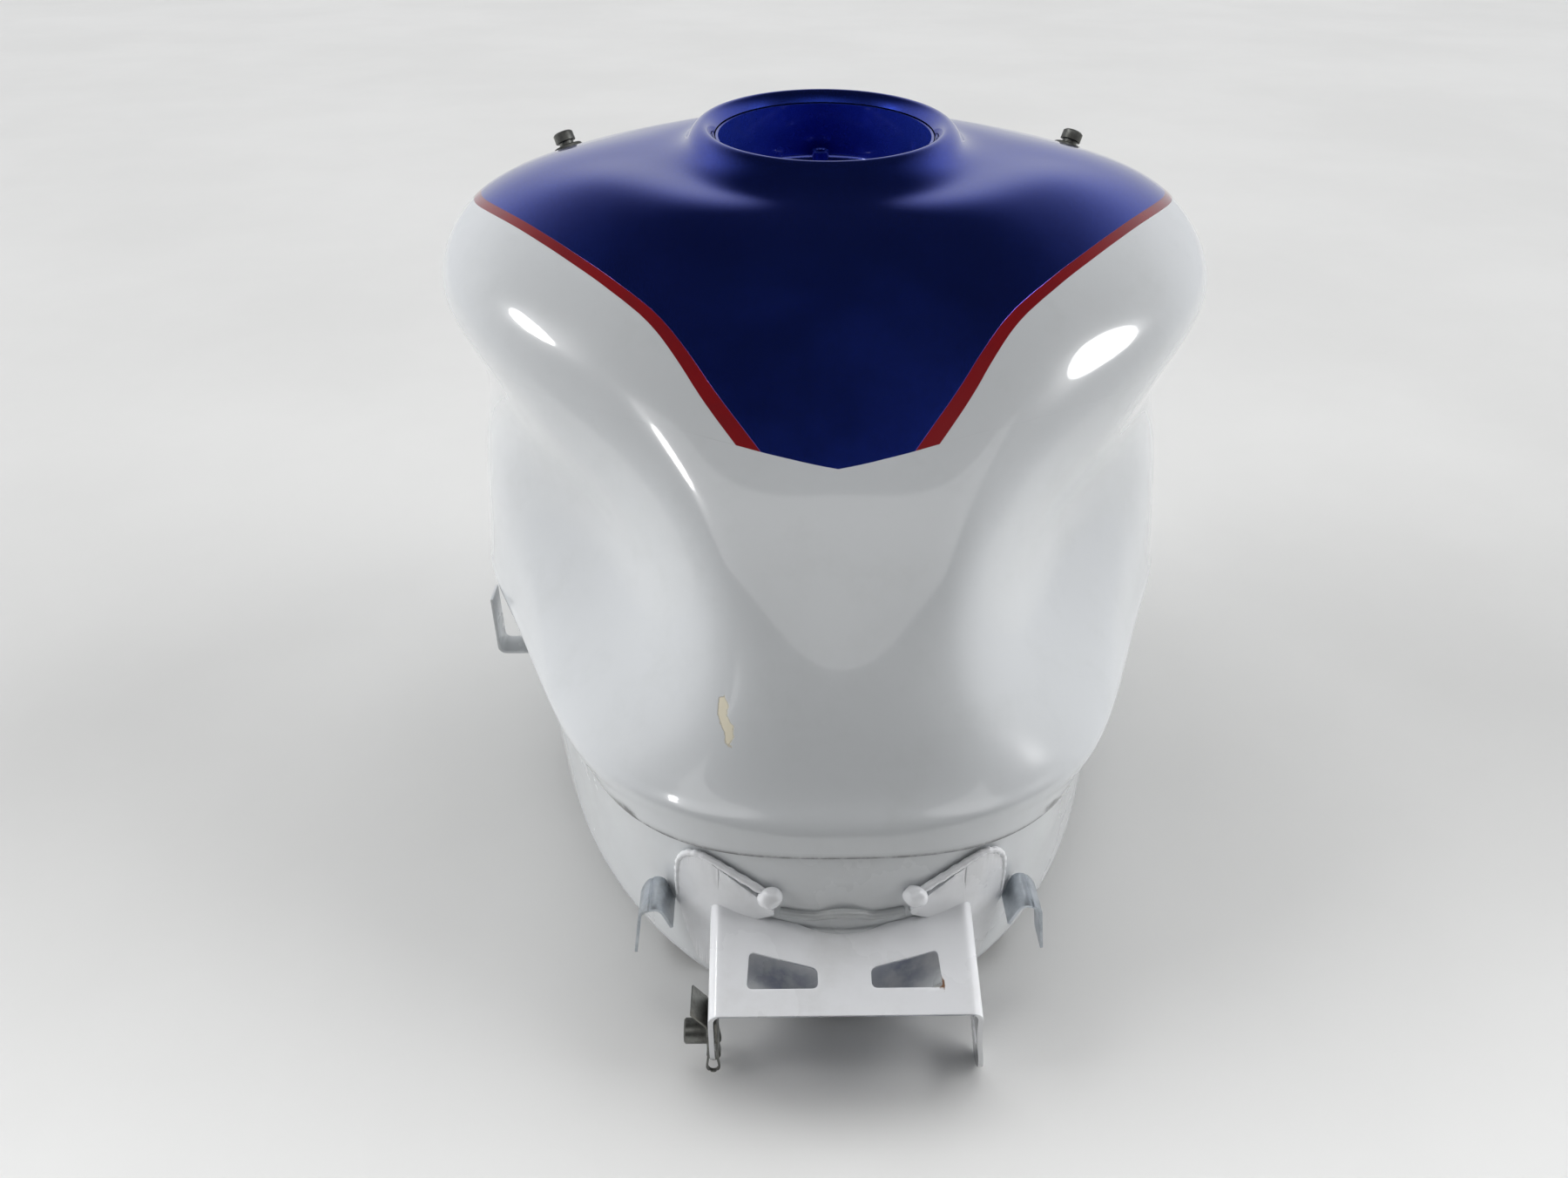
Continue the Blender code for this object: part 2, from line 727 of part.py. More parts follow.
def make_pump_seal_and_flange():
    gasket_top = -GAP
    gasket_bottom = gasket_top - GASKET_THICK
    outer = PUMP_HOLE + PUMP_RING_WIDTH
    gasket = turned("pump_gasket", ring_profile(PUMP_HOLE + 1, outer, gasket_bottom, gasket_top), RUBBER)
    pump_place(gasket)
    drill_bolt_holes(gasket, "gasket", -20, 20)
    flange_top = gasket_bottom - GAP
    flange = turned("pump_flange", disc_profile(outer, flange_top - FLANGE_THICK, flange_top), PLASTIC_BLACK)
    pump_place(flange)
    drill_bolt_holes(flange, "flange", -20, 20)
    return flange_top


def make_pump_bolts(flange_top):
    seat = flange_top - FLANGE_THICK - GAP
    for number, angle in enumerate(bolt_angles(), 1):
        profile = [(0, SHEET), (PUMP_BOLT_RADIUS, SHEET), (PUMP_BOLT_RADIUS, seat), (4.5, seat),
                   (4.5, seat - 3.5), (0, seat - 3.5)]
        bolt = turned(f"pump_bolt_{number}", profile, STEEL, 16)
        pump_place(bolt, PUMP_BOLT_CIRCLE * cos(angle), PUMP_BOLT_CIRCLE * sin(angle))


def drill_pan_for_bolts(pan):
    drill_bolt_holes(pan, "pan_bolt", -6, 6)


def make_pump_insides(flange_top):
    base = flange_top + GAP
    wall = 2.0
    reservoir_top = base + RESERVOIR_HEIGHT
    cup = [(RESERVOIR_RADIUS, reservoir_top), (RESERVOIR_RADIUS, base), (0, base), (0, base + wall),
           (RESERVOIR_RADIUS - wall, base + wall), (RESERVOIR_RADIUS - wall, reservoir_top)]
    cup = cup[3:] + cup[:3]
    pump_place(turned("pump_reservoir", cup, PLASTIC_BLACK))
    strainer_top = base + wall + GAP + 8
    pump_place(turned("strainer", disc_profile(MOTOR_RADIUS + 6, base + wall + GAP, strainer_top), PLASTIC_GREY))
    motor_base = strainer_top + GAP
    motor_top = motor_base + MOTOR_HEIGHT
    motor = [(0, motor_top + 6), (6, motor_top + 6), (6, motor_top), (MOTOR_RADIUS - 3, motor_top),
             (MOTOR_RADIUS, motor_top - 3), (MOTOR_RADIUS, motor_base), (0, motor_base)]
    pump_place(turned("fuel_pump", motor, ALUMINIUM))


def make_outlet_and_plug(flange_top):
    under = flange_top - FLANGE_THICK - GAP
    top = (16, along(PUMP_Y), POCKET_HEIGHT + under)
    turn_point = (16, along(PUMP_Y), POCKET_HEIGHT + under - 9)
    end = (16, along(PUMP_Y) + 50, POCKET_HEIGHT + under - 9)
    wire("fuel_outlet", rounded_path([top, turn_point, end], 7.0), TUBE_RADIUS, PLASTIC_BLACK, TUBE_BORE)
    plug = box("pump_connector", -28, -8, along(PUMP_Y) - 9, along(PUMP_Y) + 9, POCKET_HEIGHT + under - 13,
               POCKET_HEIGHT + under, PLASTIC_BLACK)
    socket = box("connector_socket", -25, -11, along(PUMP_Y) - 6, along(PUMP_Y) + 6,
                 POCKET_HEIGHT + under - 14, POCKET_HEIGHT + under - 4, None, helper=True)
    add_boolean(plug, socket, "DIFFERENCE")
    add_bevel(plug, 0.8)


def make_level_sender():
    """A small housing on the reservoir's side, with the float's wire arm turning on its outer face."""
    inner = RESERVOIR_RADIUS + GAP
    outer = SENDER_X
    y = along(PIVOT_Y)
    housing = box("level_sender", inner + 0.5, outer, y - 9, y + 9, PIVOT_Z - 34, PIVOT_Z + 9, PLASTIC_BLACK)
    bore = turned("hinge_bore", disc_profile(ARM_RADIUS + GAP, -PIN_LENGTH - GAP, 2.0), None, 16, helper=True)
    place(bore, outer, y, PIVOT_Z, turn_y=pi / 2)
    add_boolean(housing, bore, "DIFFERENCE")


def make_float_arm():
    """The wire's end is the hinge pin, along X. The arm points forward and down, on its lower stop."""
    hinge = bpy.data.objects.new("float_hinge", None)
    TANK.objects.link(hinge)
    place(hinge, SENDER_X, along(PIVOT_Y), PIVOT_Z)
    reach_y = ARM_REACH * cos(ARM_DROOP)
    reach_z = -ARM_REACH * sin(ARM_DROOP)
    side = FLOAT_X - SENDER_X
    corners = [(-PIN_LENGTH, 0, 0), (6, 0, 0), (6, reach_y * 0.3, reach_z * 0.3), (side * 0.5, reach_y, reach_z),
               (side + FLOAT_LENGTH / 2 + 3, reach_y, reach_z)]
    arm = wire("float_arm", rounded_path(corners, 3.0), ARM_RADIUS, STEEL)
    arm.parent = hinge
    half = FLOAT_LENGTH / 2
    bore = ARM_RADIUS + GAP
    profile = [(FLOAT_RADIUS - 2, half), (FLOAT_RADIUS, half - 2), (FLOAT_RADIUS, -half + 2),
               (FLOAT_RADIUS - 2, -half), (bore, -half), (bore, half)]
    bob = turned("float", profile, PLASTIC_GREY, 24)
    bob.parent = hinge
    place(bob, side, reach_y, reach_z, turn_y=pi / 2)


# ---------------------------------------------------------------- rear bracket and small pieces


def rear_end():
    """The bracket reaches as far behind the origin as the shell's nose reaches in front of it."""
    return -float(shell_grid()[:, :, 1].max())


def make_pan_envelope():
    """The pan and the shell's edge grown by the gap, used to trim pieces that end against them."""
    wall = np.array(pan_wall_rows()[1:])
    grown = wall + outward_normals(wall) * GAP * 1.6
    lid = grown[0] + (0, 0, 40)
    foot = grown[-1] - (0, 0, 40)
    return closed_rows("pan_envelope", np.concatenate([lid[None], grown, foot[None]]))


def pan_rear_y(x, z):
    """Where the pan's rear wall stands at this place across and this height."""
    heights = []
    depths = []
    for row in reversed(pan_wall_rows()[1:]):
        rear = row[:COLUMNS // 4]
        heights.append(np.interp(x, rear[:, 0], rear[:, 2]))
        depths.append(np.interp(x, rear[:, 0], rear[:, 1]))
    return float(np.interp(z, heights, depths))


def bracket_plate_outline():
    """Plate seen square on: x across, y up the slope from its rear edge."""
    arc = []
    for i in range(9):
        x = BRACKET_HALF * 0.62 * (1 - i / 4)
        dip = 15.0 * (1 - (x / (BRACKET_HALF * 0.62)) ** 2)
        arc.append((x, PLATE_LENGTH - 15 - dip))
    inset = BRACKET_SHEET / 2
    half = BRACKET_HALF - inset
    return [(-half, 0), (half, 0), (half, PLATE_LENGTH)] + arc + [(-half, PLATE_LENGTH)]


def window_outline(side):
    corners = [(WINDOW_INNER, 10), (WINDOW_OUTER, 10), (WINDOW_OUTER - 1, 25), (WINDOW_INNER, 18)]
    return rounded_outline([(side * x, y) for x, y in corners], 2.5)


def leg_outline(bottom):
    """A leg and its gusset seen from the side: x is forward from the rear edge, y is height."""
    rise = tan(PLATE_SLOPE)
    tip = LEG_WIDTH * 0.42
    length = PLATE_LENGTH * cos(PLATE_SLOPE)
    outline = [(0, PLATE_REAR_Z)]
    outline += [(0, bottom + 14), (3, bottom + 3), (tip - 2, bottom), (tip + 6, bottom + 1.5)]
    outline += [(LEG_WIDTH * 0.8, bottom + 12), (LEG_WIDTH, PLATE_REAR_Z * 0.42)]
    outline += [(length, PLATE_REAR_Z * 0.62), (length, PLATE_REAR_Z + length * rise)]
    return outline


def make_rear_bracket(envelope):
    rear = rear_end()
    up = (0, cos(PLATE_SLOPE), sin(PLATE_SLOPE))
    half = BRACKET_SHEET / 2
    holes = [window_outline(side) for side in (-1, 1)]
    base = plane((0, rear + half * sin(PLATE_SLOPE), PLATE_REAR_Z - half), (1, 0, 0), up)
    bracket = plate("rear_bracket", bracket_plate_outline(), holes, BRACKET_SHEET, PAINT_WHITE, base)
    for side, bottom in ((-1, 7.0), (1, 0.0)):
        spot = plane((side * (BRACKET_HALF - half), rear, 0), (0, 1, 0), (0, 0, 1))
        hole = circle_outline(LEG_WIDTH * 0.46, LEG_HOLE_Z, LEG_HOLE if side > 0 else 4.0, 20)
        leg = plate(f"bracket_leg_{side}", leg_outline(bottom), [hole], BRACKET_SHEET, None, spot, helper=True)
        add_boolean(bracket, leg, "UNION")
        flange = weld_flange(side)
        add_boolean(bracket, flange, "UNION")
    add_boolean(bracket, envelope, "DIFFERENCE")
    return bracket


def weld_flange(side):
    """The bracket's ear: turned outward from the leg and lying against the pan's wall."""
    corners = [(-2, 17), (12, 17), (17, 34), (18, high(55)), (16, high(71)), (10, high(78)),
               (5, high(78)), (-2, high(66))]
    start = BRACKET_HALF - 2
    wall = pan_rear_y(start, 50)
    direction = Vector((side * 15, pan_rear_y(start + 15, 50) - wall, 0)).normalized()
    spot = plane((side * start, wall - 2.7, 0), direction, (0, 0, 1))
    return plate(f"bracket_ear_{side}", rounded_outline(corners, 4.0), [], 4.0, None, spot, helper=True)


def make_hem_lip(envelope):
    """The wavy welded hem that stands out of the pan's rear wall above the bracket's plate."""
    half = BRACKET_HALF * 0.5
    front = []
    back = []
    for i in range(17):
        x = -half + 2 * half * i / 16
        wave = 1.6 * cos(pi * x / 11) if abs(x) < 16.5 else -1.6
        reach = 7.0 * (1 - (x / half) ** 4)
        front.append((x, along(-206) + 4, 61.5 + wave * 0.6))
        back.append((x, along(-211.5) - reach * 0.55, 60.5 + wave))
    vertices = front + back
    count = len(front)
    faces = [(i, i + 1, count + i + 1, count + i) for i in range(count - 1)]
    lip = add_object("hem_lip", mesh_from("hem_lip", vertices, faces), PAINT_WHITE)
    add_solidify(lip, 2.0, 0.0)
    add_boolean(lip, envelope, "DIFFERENCE")


def make_hooks(envelope):
    """Thin curved straps beside the bracket that hold a harness or a side cover."""
    start = BRACKET_HALF + 16.5
    y = pan_rear_y(start, 49) - HOOK_REACH
    for side, name in ((-1, "hook_left"), (1, "hook_right")):
        corners = [(side * start, y, 49), (side * (start + 5.5), y, 59), (side * (start + 13), y, 54),
                   (side * (start + 16), y, 27)]
        hook = strip(name, rounded_path(corners, 5.0), (0, 18, 0), 1.2, STEEL)
        add_boolean(hook, envelope, "DIFFERENCE")


def make_clip_nut():
    """A sprung clip pushed up over the left leg, with a nut barrel on its outer leaf."""
    outside = -(BRACKET_HALF + GAP + CLIP_SHEET / 2)
    inside = -(BRACKET_HALF - BRACKET_SHEET - GAP - CLIP_SHEET / 2)
    middle = (outside + inside) / 2
    y = rear_end() + LEG_WIDTH * 0.46
    start = y - CLIP_WIDTH / 2
    corners = [(outside - 6, start, 38), (outside, start, 30), (outside, start, 12), (outside - 1, start, 4),
               (middle, start, 1.5), (inside + 1, start, 4), (inside, start, 12), (inside, start, 32)]
    clip = strip("clip_nut_spring", rounded_path(corners, 2.0, 3), (0, CLIP_WIDTH, 0), CLIP_SHEET, STEEL)
    drill = turned("clip_drill", disc_profile(3.2, -12, 12), None, 16, helper=True)
    place(drill, middle, y, LEG_HOLE_Z, turn_y=pi / 2)
    add_boolean(clip, drill, "DIFFERENCE")
    nut = turned("clip_nut_barrel", ring_profile(2.9, CLIP_NUT_RADIUS, 0, CLIP_NUT_LENGTH), STEEL, 24)
    seat = outside - CLIP_SHEET / 2 - GAP
    place(nut, seat, y, LEG_HOLE_Z, turn_y=-pi / 2)


def make_side_tab(envelope):
    """A thin upright tab on the left flank, with its foot on the pan below the seam."""
    outer = wide(-170)
    y = along(-30)
    corners = [(wide(-140), y - 7, 63), (outer, y - 7, 63), (outer, y - 7, 96)]
    tab = strip("side_tab", rounded_path(corners, 4.0), (0, 14, 0), 1.5, PAINT_WHITE)
    add_boolean(tab, envelope, "DIFFERENCE")


def make_cover_studs():
    """Two headed studs on the front ledge that carry the front cover."""
    net = shell_net()
    for name, column in (("cover_stud_right", 6.45), ("cover_stud_left", 16 - 6.45)):
        patch = spline_points(net, [4.3, 4.5, 4.7], [column - 0.2, column, column + 0.2])
        spot = Vector(patch[1, 1])
        normal = Vector(np.cross(patch[2, 1] - patch[0, 1], patch[1, 2] - patch[1, 0])).normalized()
        profile = [(0, 9.5), (4.5, 9.5), (5.5, 8.5), (5.5, 4.5), (4, 4.5), (4, 2), (8, 2), (8, GAP), (0, GAP)]
        stud = turned(name, profile, STEEL, 24)
        stud.location = (spot + normal * 0.2) * MM
        stud.rotation_mode = "QUATERNION"
        stud.rotation_quaternion = normal.to_track_quat("Z", "Y")


def make_front_bracket():
    """A low bridge under the tunnel's roof that carries two rubber grommets."""
    roof = TUNNEL_HEIGHT - GAP
    low = roof - FRONT_BRACKET_DROP
    y = along(FRONT_BRACKET_Y) - FRONT_BRACKET_DEPTH / 2
    half = FRONT_BRACKET_HALF
    corners = [(-half, y, roof - 1), (-half + 8, y, roof - 1), (-half + 12, y, low), (half - 12, y, low),
               (half - 8, y, roof - 1), (half, y, roof - 1)]
    bracket = strip("front_bracket", rounded_path(corners, 2.5, 3), (0, FRONT_BRACKET_DEPTH, 0), 2.0, PAINT_WHITE)
    middle = along(FRONT_BRACKET_Y)
    for side, name in ((-1, "left"), (1, "right")):
        x = side * GROMMET_X
        drill = turned(f"grommet_drill_{name}", disc_profile(GROMMET_WAIST + GAP, -8, 8), None, 24, helper=True)
        place(drill, x, middle, low)
        add_boolean(bracket, drill, "DIFFERENCE")
        inner = SLEEVE_RADIUS + GAP
        rubber = [(GROMMET_RADIUS, 5), (GROMMET_RADIUS, 1 + GAP), (GROMMET_WAIST, 1 + GAP),
                  (GROMMET_WAIST, -1 - GAP), (GROMMET_RADIUS, -1 - GAP), (GROMMET_RADIUS, -5), (inner, -5),
                  (inner, 5)]
        place(turned(f"grommet_{name}", rubber, RUBBER, 24), x, middle, low)
        half_length = SLEEVE_LENGTH / 2
        sleeve = turned(f"sleeve_{name}", ring_profile(SLEEVE_BORE, SLEEVE_RADIUS, -half_length, half_length),
                        STEEL, 24)
        place(sleeve, x, middle, low)


def make_tank():
    make_upper_shell()
    pan = make_bottom_pan()
    drill_pan_for_bolts(pan)
    make_filler_cup()
    make_filler_neck()
    make_cap_bosses()
    make_tubes()
    make_slosh_baffle()
    make_pump_ring()
    flange_top = make_pump_seal_and_flange()
    make_pump_bolts(flange_top)
    make_pump_insides(flange_top)
    make_outlet_and_plug(flange_top)
    make_level_sender()
    make_float_arm()
    envelope = make_pan_envelope()
    make_rear_bracket(envelope)
    make_hem_lip(envelope)
    make_hooks(envelope)
    make_clip_nut()
    make_side_tab(envelope)
    make_cover_studs()
    make_front_bracket()


clear_scene()
TANK = make_collection("motorcycle_fuel_tank")
HELPERS = make_collection("helpers")
HELPERS.hide_render = True
PAINT_WHITE = make_material("white_paint", (0.80, 0.82, 0.83), 0.18)
PAINT_BLUE = make_material("blue_paint", (0.01, 0.03, 0.32), 0.2, 0.3)
STEEL = make_material("zinc_plated_steel", (0.42, 0.42, 0.40), 0.4, 1.0)
ALUMINIUM = make_material("aluminium", (0.6, 0.6, 0.6), 0.35, 1.0)
RUBBER = make_material("black_rubber", (0.02, 0.02, 0.02), 0.75)
PLASTIC_BLACK = make_material("black_plastic", (0.03, 0.03, 0.03), 0.5)
PLASTIC_GREY = make_material("grey_plastic", (0.35, 0.35, 0.33), 0.5)
make_tank()
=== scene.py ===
"""Looks of the motorcycle fuel tank: painted surfaces, welded bracket and fittings, light and camera."""

from math import cos, pi, radians, sin, tan

import bmesh
import bpy
import numpy as np
from mathutils import Matrix, Vector


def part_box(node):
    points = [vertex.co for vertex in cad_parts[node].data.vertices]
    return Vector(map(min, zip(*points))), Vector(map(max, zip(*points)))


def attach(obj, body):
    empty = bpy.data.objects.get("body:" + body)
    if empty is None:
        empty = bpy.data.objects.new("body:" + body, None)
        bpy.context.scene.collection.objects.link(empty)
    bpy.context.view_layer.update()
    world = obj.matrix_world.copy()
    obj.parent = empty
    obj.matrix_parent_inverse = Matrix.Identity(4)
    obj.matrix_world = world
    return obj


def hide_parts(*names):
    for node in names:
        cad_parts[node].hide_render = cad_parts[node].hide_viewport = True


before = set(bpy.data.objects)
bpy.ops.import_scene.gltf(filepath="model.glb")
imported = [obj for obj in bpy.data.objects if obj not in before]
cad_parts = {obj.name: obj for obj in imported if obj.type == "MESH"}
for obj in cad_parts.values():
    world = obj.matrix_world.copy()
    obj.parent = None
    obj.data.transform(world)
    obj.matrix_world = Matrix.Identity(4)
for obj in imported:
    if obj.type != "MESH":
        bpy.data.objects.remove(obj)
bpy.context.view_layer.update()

MM = 0.001

# Sizes shared with the CAD model, in millimetres.
TANK_HEIGHT = 305.0
SHEET = 1.2
GAP = 0.3
FILLER_Y = 67.0
FILLER_TILT = radians(4.6)
LIP_RADIUS = 59.5
CUP_RADIUS = 54.0
CUP_DEPTH = 34.0
CUP_CORNER = 5.0
NECK_RADIUS = 27.0
NECK_LENGTH = 42.0
CAP_SCREW_CIRCLE = 41.0
CAP_BOSS_RADIUS = 4.5
CAP_BOSS_HEIGHT = 8.0
CAP_SCREW_RADIUS = 2.5
TUBE_RADIUS = 4.0
TUBE_CIRCLE = 45.0
PAN_CORNER = 12.0
CHANNEL_HALF = 70.0
CHANNEL_FLARE = 20.0
POCKET_HEIGHT = 28.0
TUNNEL_HEIGHT = 65.0
TUBE_EXIT_X = 42.0
TUBE_EXIT_Y = 84.0
PUMP_Y = -105.0
PUMP_HOLE = 40.0
BRACKET_HALF = 53.5
BRACKET_SHEET = 2.0
BRACKET_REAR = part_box("rear_bracket")[0].y / MM
PLATE_REAR_Z = 41.6
PLATE_SLOPE = radians(20)
PLATE_LENGTH = 62.0
WINDOW_INNER = 10.5
WINDOW_OUTER = 38.5
LEG_WIDTH = 22.0
LEG_HOLE = 6.5
LEG_HOLE_Y = BRACKET_REAR + LEG_WIDTH * 0.46
LEG_HOLE_Z = 19.0
CLIP_HOLE = 4.0
CLIP_SHEET = 0.8
CLIP_WIDTH = 14.0
TAB_Y = -30.0
TAB_WIDTH = 14.0

# Sizes that only the looks need.
HEM_HALF = 25.0
FLOOR_REACH = 9000.0
SIDES = ((-1, "left"), (1, "right"))

# Fineness of the visible surfaces.
SHELL_COLUMN_STEPS = 12
SHELL_ROW_STEPS = 9
PAN_COLUMN_STEPS = 8

COLUMN_ANGLES = [0, 20, 42, 64, 86, 108, 130, 154, 180]
COLUMN_COUNT = 2 * (len(COLUMN_ANGLES) - 1)

# The CAD cage, in rows from the deck down to the seam. A row runs from the rear middle round the right side
# to the front.
SHELL_CAGE = [
    # deck
    [(0, -30, 275), (45, -22, 280), (85, 4, 285), (108, 28, 288), (120, 50, 289), (124, 76, 290),
     (118, 112, 288), (84, 152, 286), (0, 168, 285)],
    # crest
    [(0, -54, 254), (56, -48, 259), (106, -24, 265), (141, 4, 269), (164, 34, 271), (174, 68, 271),
     (169, 112, 268), (124, 168, 264), (0, 190, 270)],
    # shoulder bulge
    [(0, -80, 231), (62, -74, 236), (118, -50, 240), (157, -24, 242), (181, 10, 242), (191, 52, 242),
     (188, 108, 240), (142, 186, 235), (0, 212, 238)],
    # under the shoulder
    [(0, -107, 208), (57, -100, 212), (108, -74, 214), (141, -46, 214), (164, -10, 214), (181, 36, 214),
     (187, 105, 212), (146, 198, 205), (0, 226, 200)],
    # waist, where the knees sit
    [(0, -134, 182), (50, -127, 185), (91, -92, 187), (121, -58, 186), (149, -18, 184), (170, 26, 182),
     (183, 105, 182), (145, 205, 180), (0, 234, 178)],
    # knee pocket
    [(0, -160, 152), (45, -151, 154), (79, -112, 155), (108, -66, 155), (149, -20, 155), (175, 25, 155),
     (184, 105, 155), (144, 209, 155), (0, 239, 155)],
    # foot of the knee pocket
    [(0, -181, 126), (48, -173, 126), (82, -140, 126), (116, -88, 125), (155, -32, 125), (179, 22, 125),
     (186, 105, 125), (143, 212, 125), (0, 242, 125)],
    # above the lower crease
    [(0, -196, 106), (51, -189, 106), (92, -164, 106), (123, -117, 105), (154, -50, 104), (179, 12, 103),
     (185, 105, 103), (142, 214, 103), (0, 244, 103)],
    # lower crease
    [(0, -204, 96), (53, -197, 96), (96, -171, 95), (125, -124, 95), (154, -54, 94), (178, 10, 93),
     (184, 105, 93), (142, 216, 93), (0, 246, 93)],
    # seam
    [(0, -207, 85), (54, -200, 84), (94, -170, 82), (119, -120, 80), (145, -52, 78), (167, 12, 77),
     (173, 105, 77), (136, 210, 78), (0, 240, 80)],
]
PAN_FOOT = [(0, -221), (44, -206), (77, -179), (104, -142), (127, -92), (146, -12), (150, 100), (120, 192),
            (0, 224)]

# Pressed features of the shell: where they are in the cage, and how far they stand out or in.
CREASE_ROW = 12.0
CREASE_LIFT = 0.9
LEDGE_DEPTH = 1.3
SLOT_DEPTH = 4.0
ROW_HEIGHT = 36.0

# Middle of the red stripe, as (cage column, cage row): up from the blue's point, then round the shoulder.
STRIPE = [(0.0, 12.0), (0.5, 8.0), (0.6, 7.2), (0.65, 6.93), (0.73, 6.62), (0.85, 6.15), (1.03, 5.7),
          (1.23, 5.48), (1.58, 5.22), (2.2, 5.0), (3.0, 4.9), (3.8, 4.9), (4.58, 4.97), (6.0, 5.05),
          (7.0, 5.08), (8.0, 5.1)]
# Lower edge of the blue, a shallow point on the spine.
BLUE_END = [(0.0, 7.08), (0.35, 6.98), (0.7, 6.9), (1.0, 6.85)]
STRIPE_START = 0.55
STRIPE_WIDTH_LOW = 6.6
STRIPE_WIDTH_HIGH = 4.6

# Paint chips at the seam, as (x, y, z, radius).
SEAM_CHIPS = [(-88.5, -177, 84, 2.6), (-94, -172, 83, 2), (88.1, -177.8, 84.6, 2.4), (92, -173.5, 84, 1.8)]

# Seen from behind on the right side, as (x, z): the bracket's ear, the weld bead on its edge, and the hook.
EAR_OUTLINE = [(26, 59), (34, 66), (46, 74), (56, 80), (62, 80), (67, 73), (68, 60), (68, 50), (63.5, 30),
               (60, 17), (54, 16), (51.5, 22), (51.5, 50), (40, 52)]
BEAD_LINE = [(26.5, 65), (33, 70), (44, 75.6), (52, 79.4), (58, 81), (63.5, 78.6), (66.4, 73), (67.2, 64),
             (67.4, 52)]
HOOK_LINE = [(69.8, 44), (74.5, 56), (82.5, 52), (86, 26)]


# ---- surfaces


def columns_round(steps):
    """Column numbers all the way round, this many to each cage column."""
    return np.linspace(0, COLUMN_COUNT, COLUMN_COUNT * steps, endpoint=False)


def lip_row(radius, drop):
    row = []
    for angle in COLUMN_ANGLES:
        x = radius * sin(radians(angle))
        back = -radius * cos(radians(angle))
        row.append((x, FILLER_Y + back, TANK_HEIGHT + back * tan(FILLER_TILT) + drop))
    return row


def shell_rows():
    lip = [
        lip_row(CUP_RADIUS, -5.0),
        lip_row(LIP_RADIUS, 0.0),
        lip_row(LIP_RADIUS + 6.5, -4.5),
        lip_row(LIP_RADIUS + 18.5, -12.0),
    ]
    return lip + SHELL_CAGE


def mirrored(half_rows):
    points = np.array(half_rows, float)
    other = points[:, -2:0:-1].copy()
    other[:, :, 0] *= -1
    return np.concatenate([points, other], axis=1)


def spline_net(points):
    """The control net of the bicubic B-spline surface that passes through these points."""
    row_count, column_count = points.shape[:2]
    around = np.zeros((column_count, column_count))
    for i in range(column_count):
        around[i, i] = 4 / 6
        around[i, (i - 1) % column_count] = 1 / 6
        around[i, (i + 1) % column_count] = 1 / 6
    net = np.einsum("ij,rjk->rik", np.linalg.inv(around), points)
    down = np.zeros((row_count + 2, row_count + 2))
    down[0, :3] = 1, -2, 1
    down[-1, -3:] = 1, -2, 1
    for i in range(row_count):
        down[i + 1, i:i + 3] = 1 / 6, 4 / 6, 1 / 6
    none = np.zeros((1, column_count, 3))
    padded = np.concatenate([none, net, none])
    return np.einsum("ij,jnk->ink", np.linalg.inv(down), padded)


def spline_weights(t):
    return np.array([(1 - t) ** 3, 3 * t**3 - 6 * t**2 + 4, -3 * t**3 + 3 * t**2 + 3 * t + 1, t**3]) / 6


def spline_points(net, rows, columns):
    """Surface points at these row and column numbers, which may lie between the cage's."""
    row_count = len(net) - 2
    column_count = net.shape[1]
    points = np.zeros((len(rows), len(columns), 3))
    for i, row in enumerate(rows):
        start = min(int(row), row_count - 2)
        line = np.tensordot(spline_weights(row - start), net[start:start + 4], axes=1)
        for j, column in enumerate(columns):
            first = int(column)
            around = [(first - 1 + k) % column_count for k in range(4)]
            points[i, j] = spline_weights(column - first) @ line[around]
    return points


def outward_normals(points):
    across = np.roll(points, -1, axis=1) - np.roll(points, 1, axis=1)
    down = np.gradient(points, axis=0)
    normals = np.cross(down, across)
    return normals / np.linalg.norm(normals, axis=2, keepdims=True)


def read_off(keys, at):
    """Height of the line through these (place, height) keys."""
    keys = np.array(keys)
    return np.interp(at, keys[:, 0], keys[:, 1])


def smooth_step(value, start, end):
    t = np.clip((value - start) / (end - start), 0, 1)
    return t * t * (3 - 2 * t)


def bump(value, centre, half_width):
    """A smooth hill of height one."""
    t = np.clip(np.abs(value - centre) / half_width, 0, 1)
    return (1 - t * t) ** 2


SHELL_NET = spline_net(mirrored(shell_rows()))


# ---- scene helpers


def new_collection(name):
    collection = bpy.data.collections.new(name)
    bpy.context.scene.collection.children.link(collection)
    return collection


LOOKS = new_collection("tank_looks")


def mesh_from(name, vertices, faces):
    mesh = bpy.data.meshes.new(name)
    mesh.from_pydata([tuple(float(c) * MM for c in vertex) for vertex in vertices], [], faces)
    mesh.update()
    return mesh


def add_mesh(name, vertices, faces, material=None):
    return add_object(name, mesh_from(name, vertices, faces), material)


def add_object(name, data, material=None):
    obj = bpy.data.objects.new(name, data)
    if material is not None:
        data.materials.append(material)
    LOOKS.objects.link(obj)
    return obj


def smooth(obj):
    for polygon in obj.data.polygons:
        polygon.use_smooth = True


def grid_faces(row_count, column_count, closed=True):
    faces = []
    for i in range(row_count - 1):
        for j in range(column_count if closed else column_count - 1):
            k = (j + 1) % column_count
            faces.append((i * column_count + j, (i + 1) * column_count + j,
                          (i + 1) * column_count + k, i * column_count + k))
    return faces


def points_of(obj):
    return np.array([vertex.co for vertex in obj.data.vertices]) / MM


def face_outward(mesh):
    shaper = bmesh.new()
    shaper.from_mesh(mesh)
    bmesh.ops.recalc_face_normals(shaper, faces=shaper.faces)
    shaper.to_mesh(mesh)
    shaper.free()


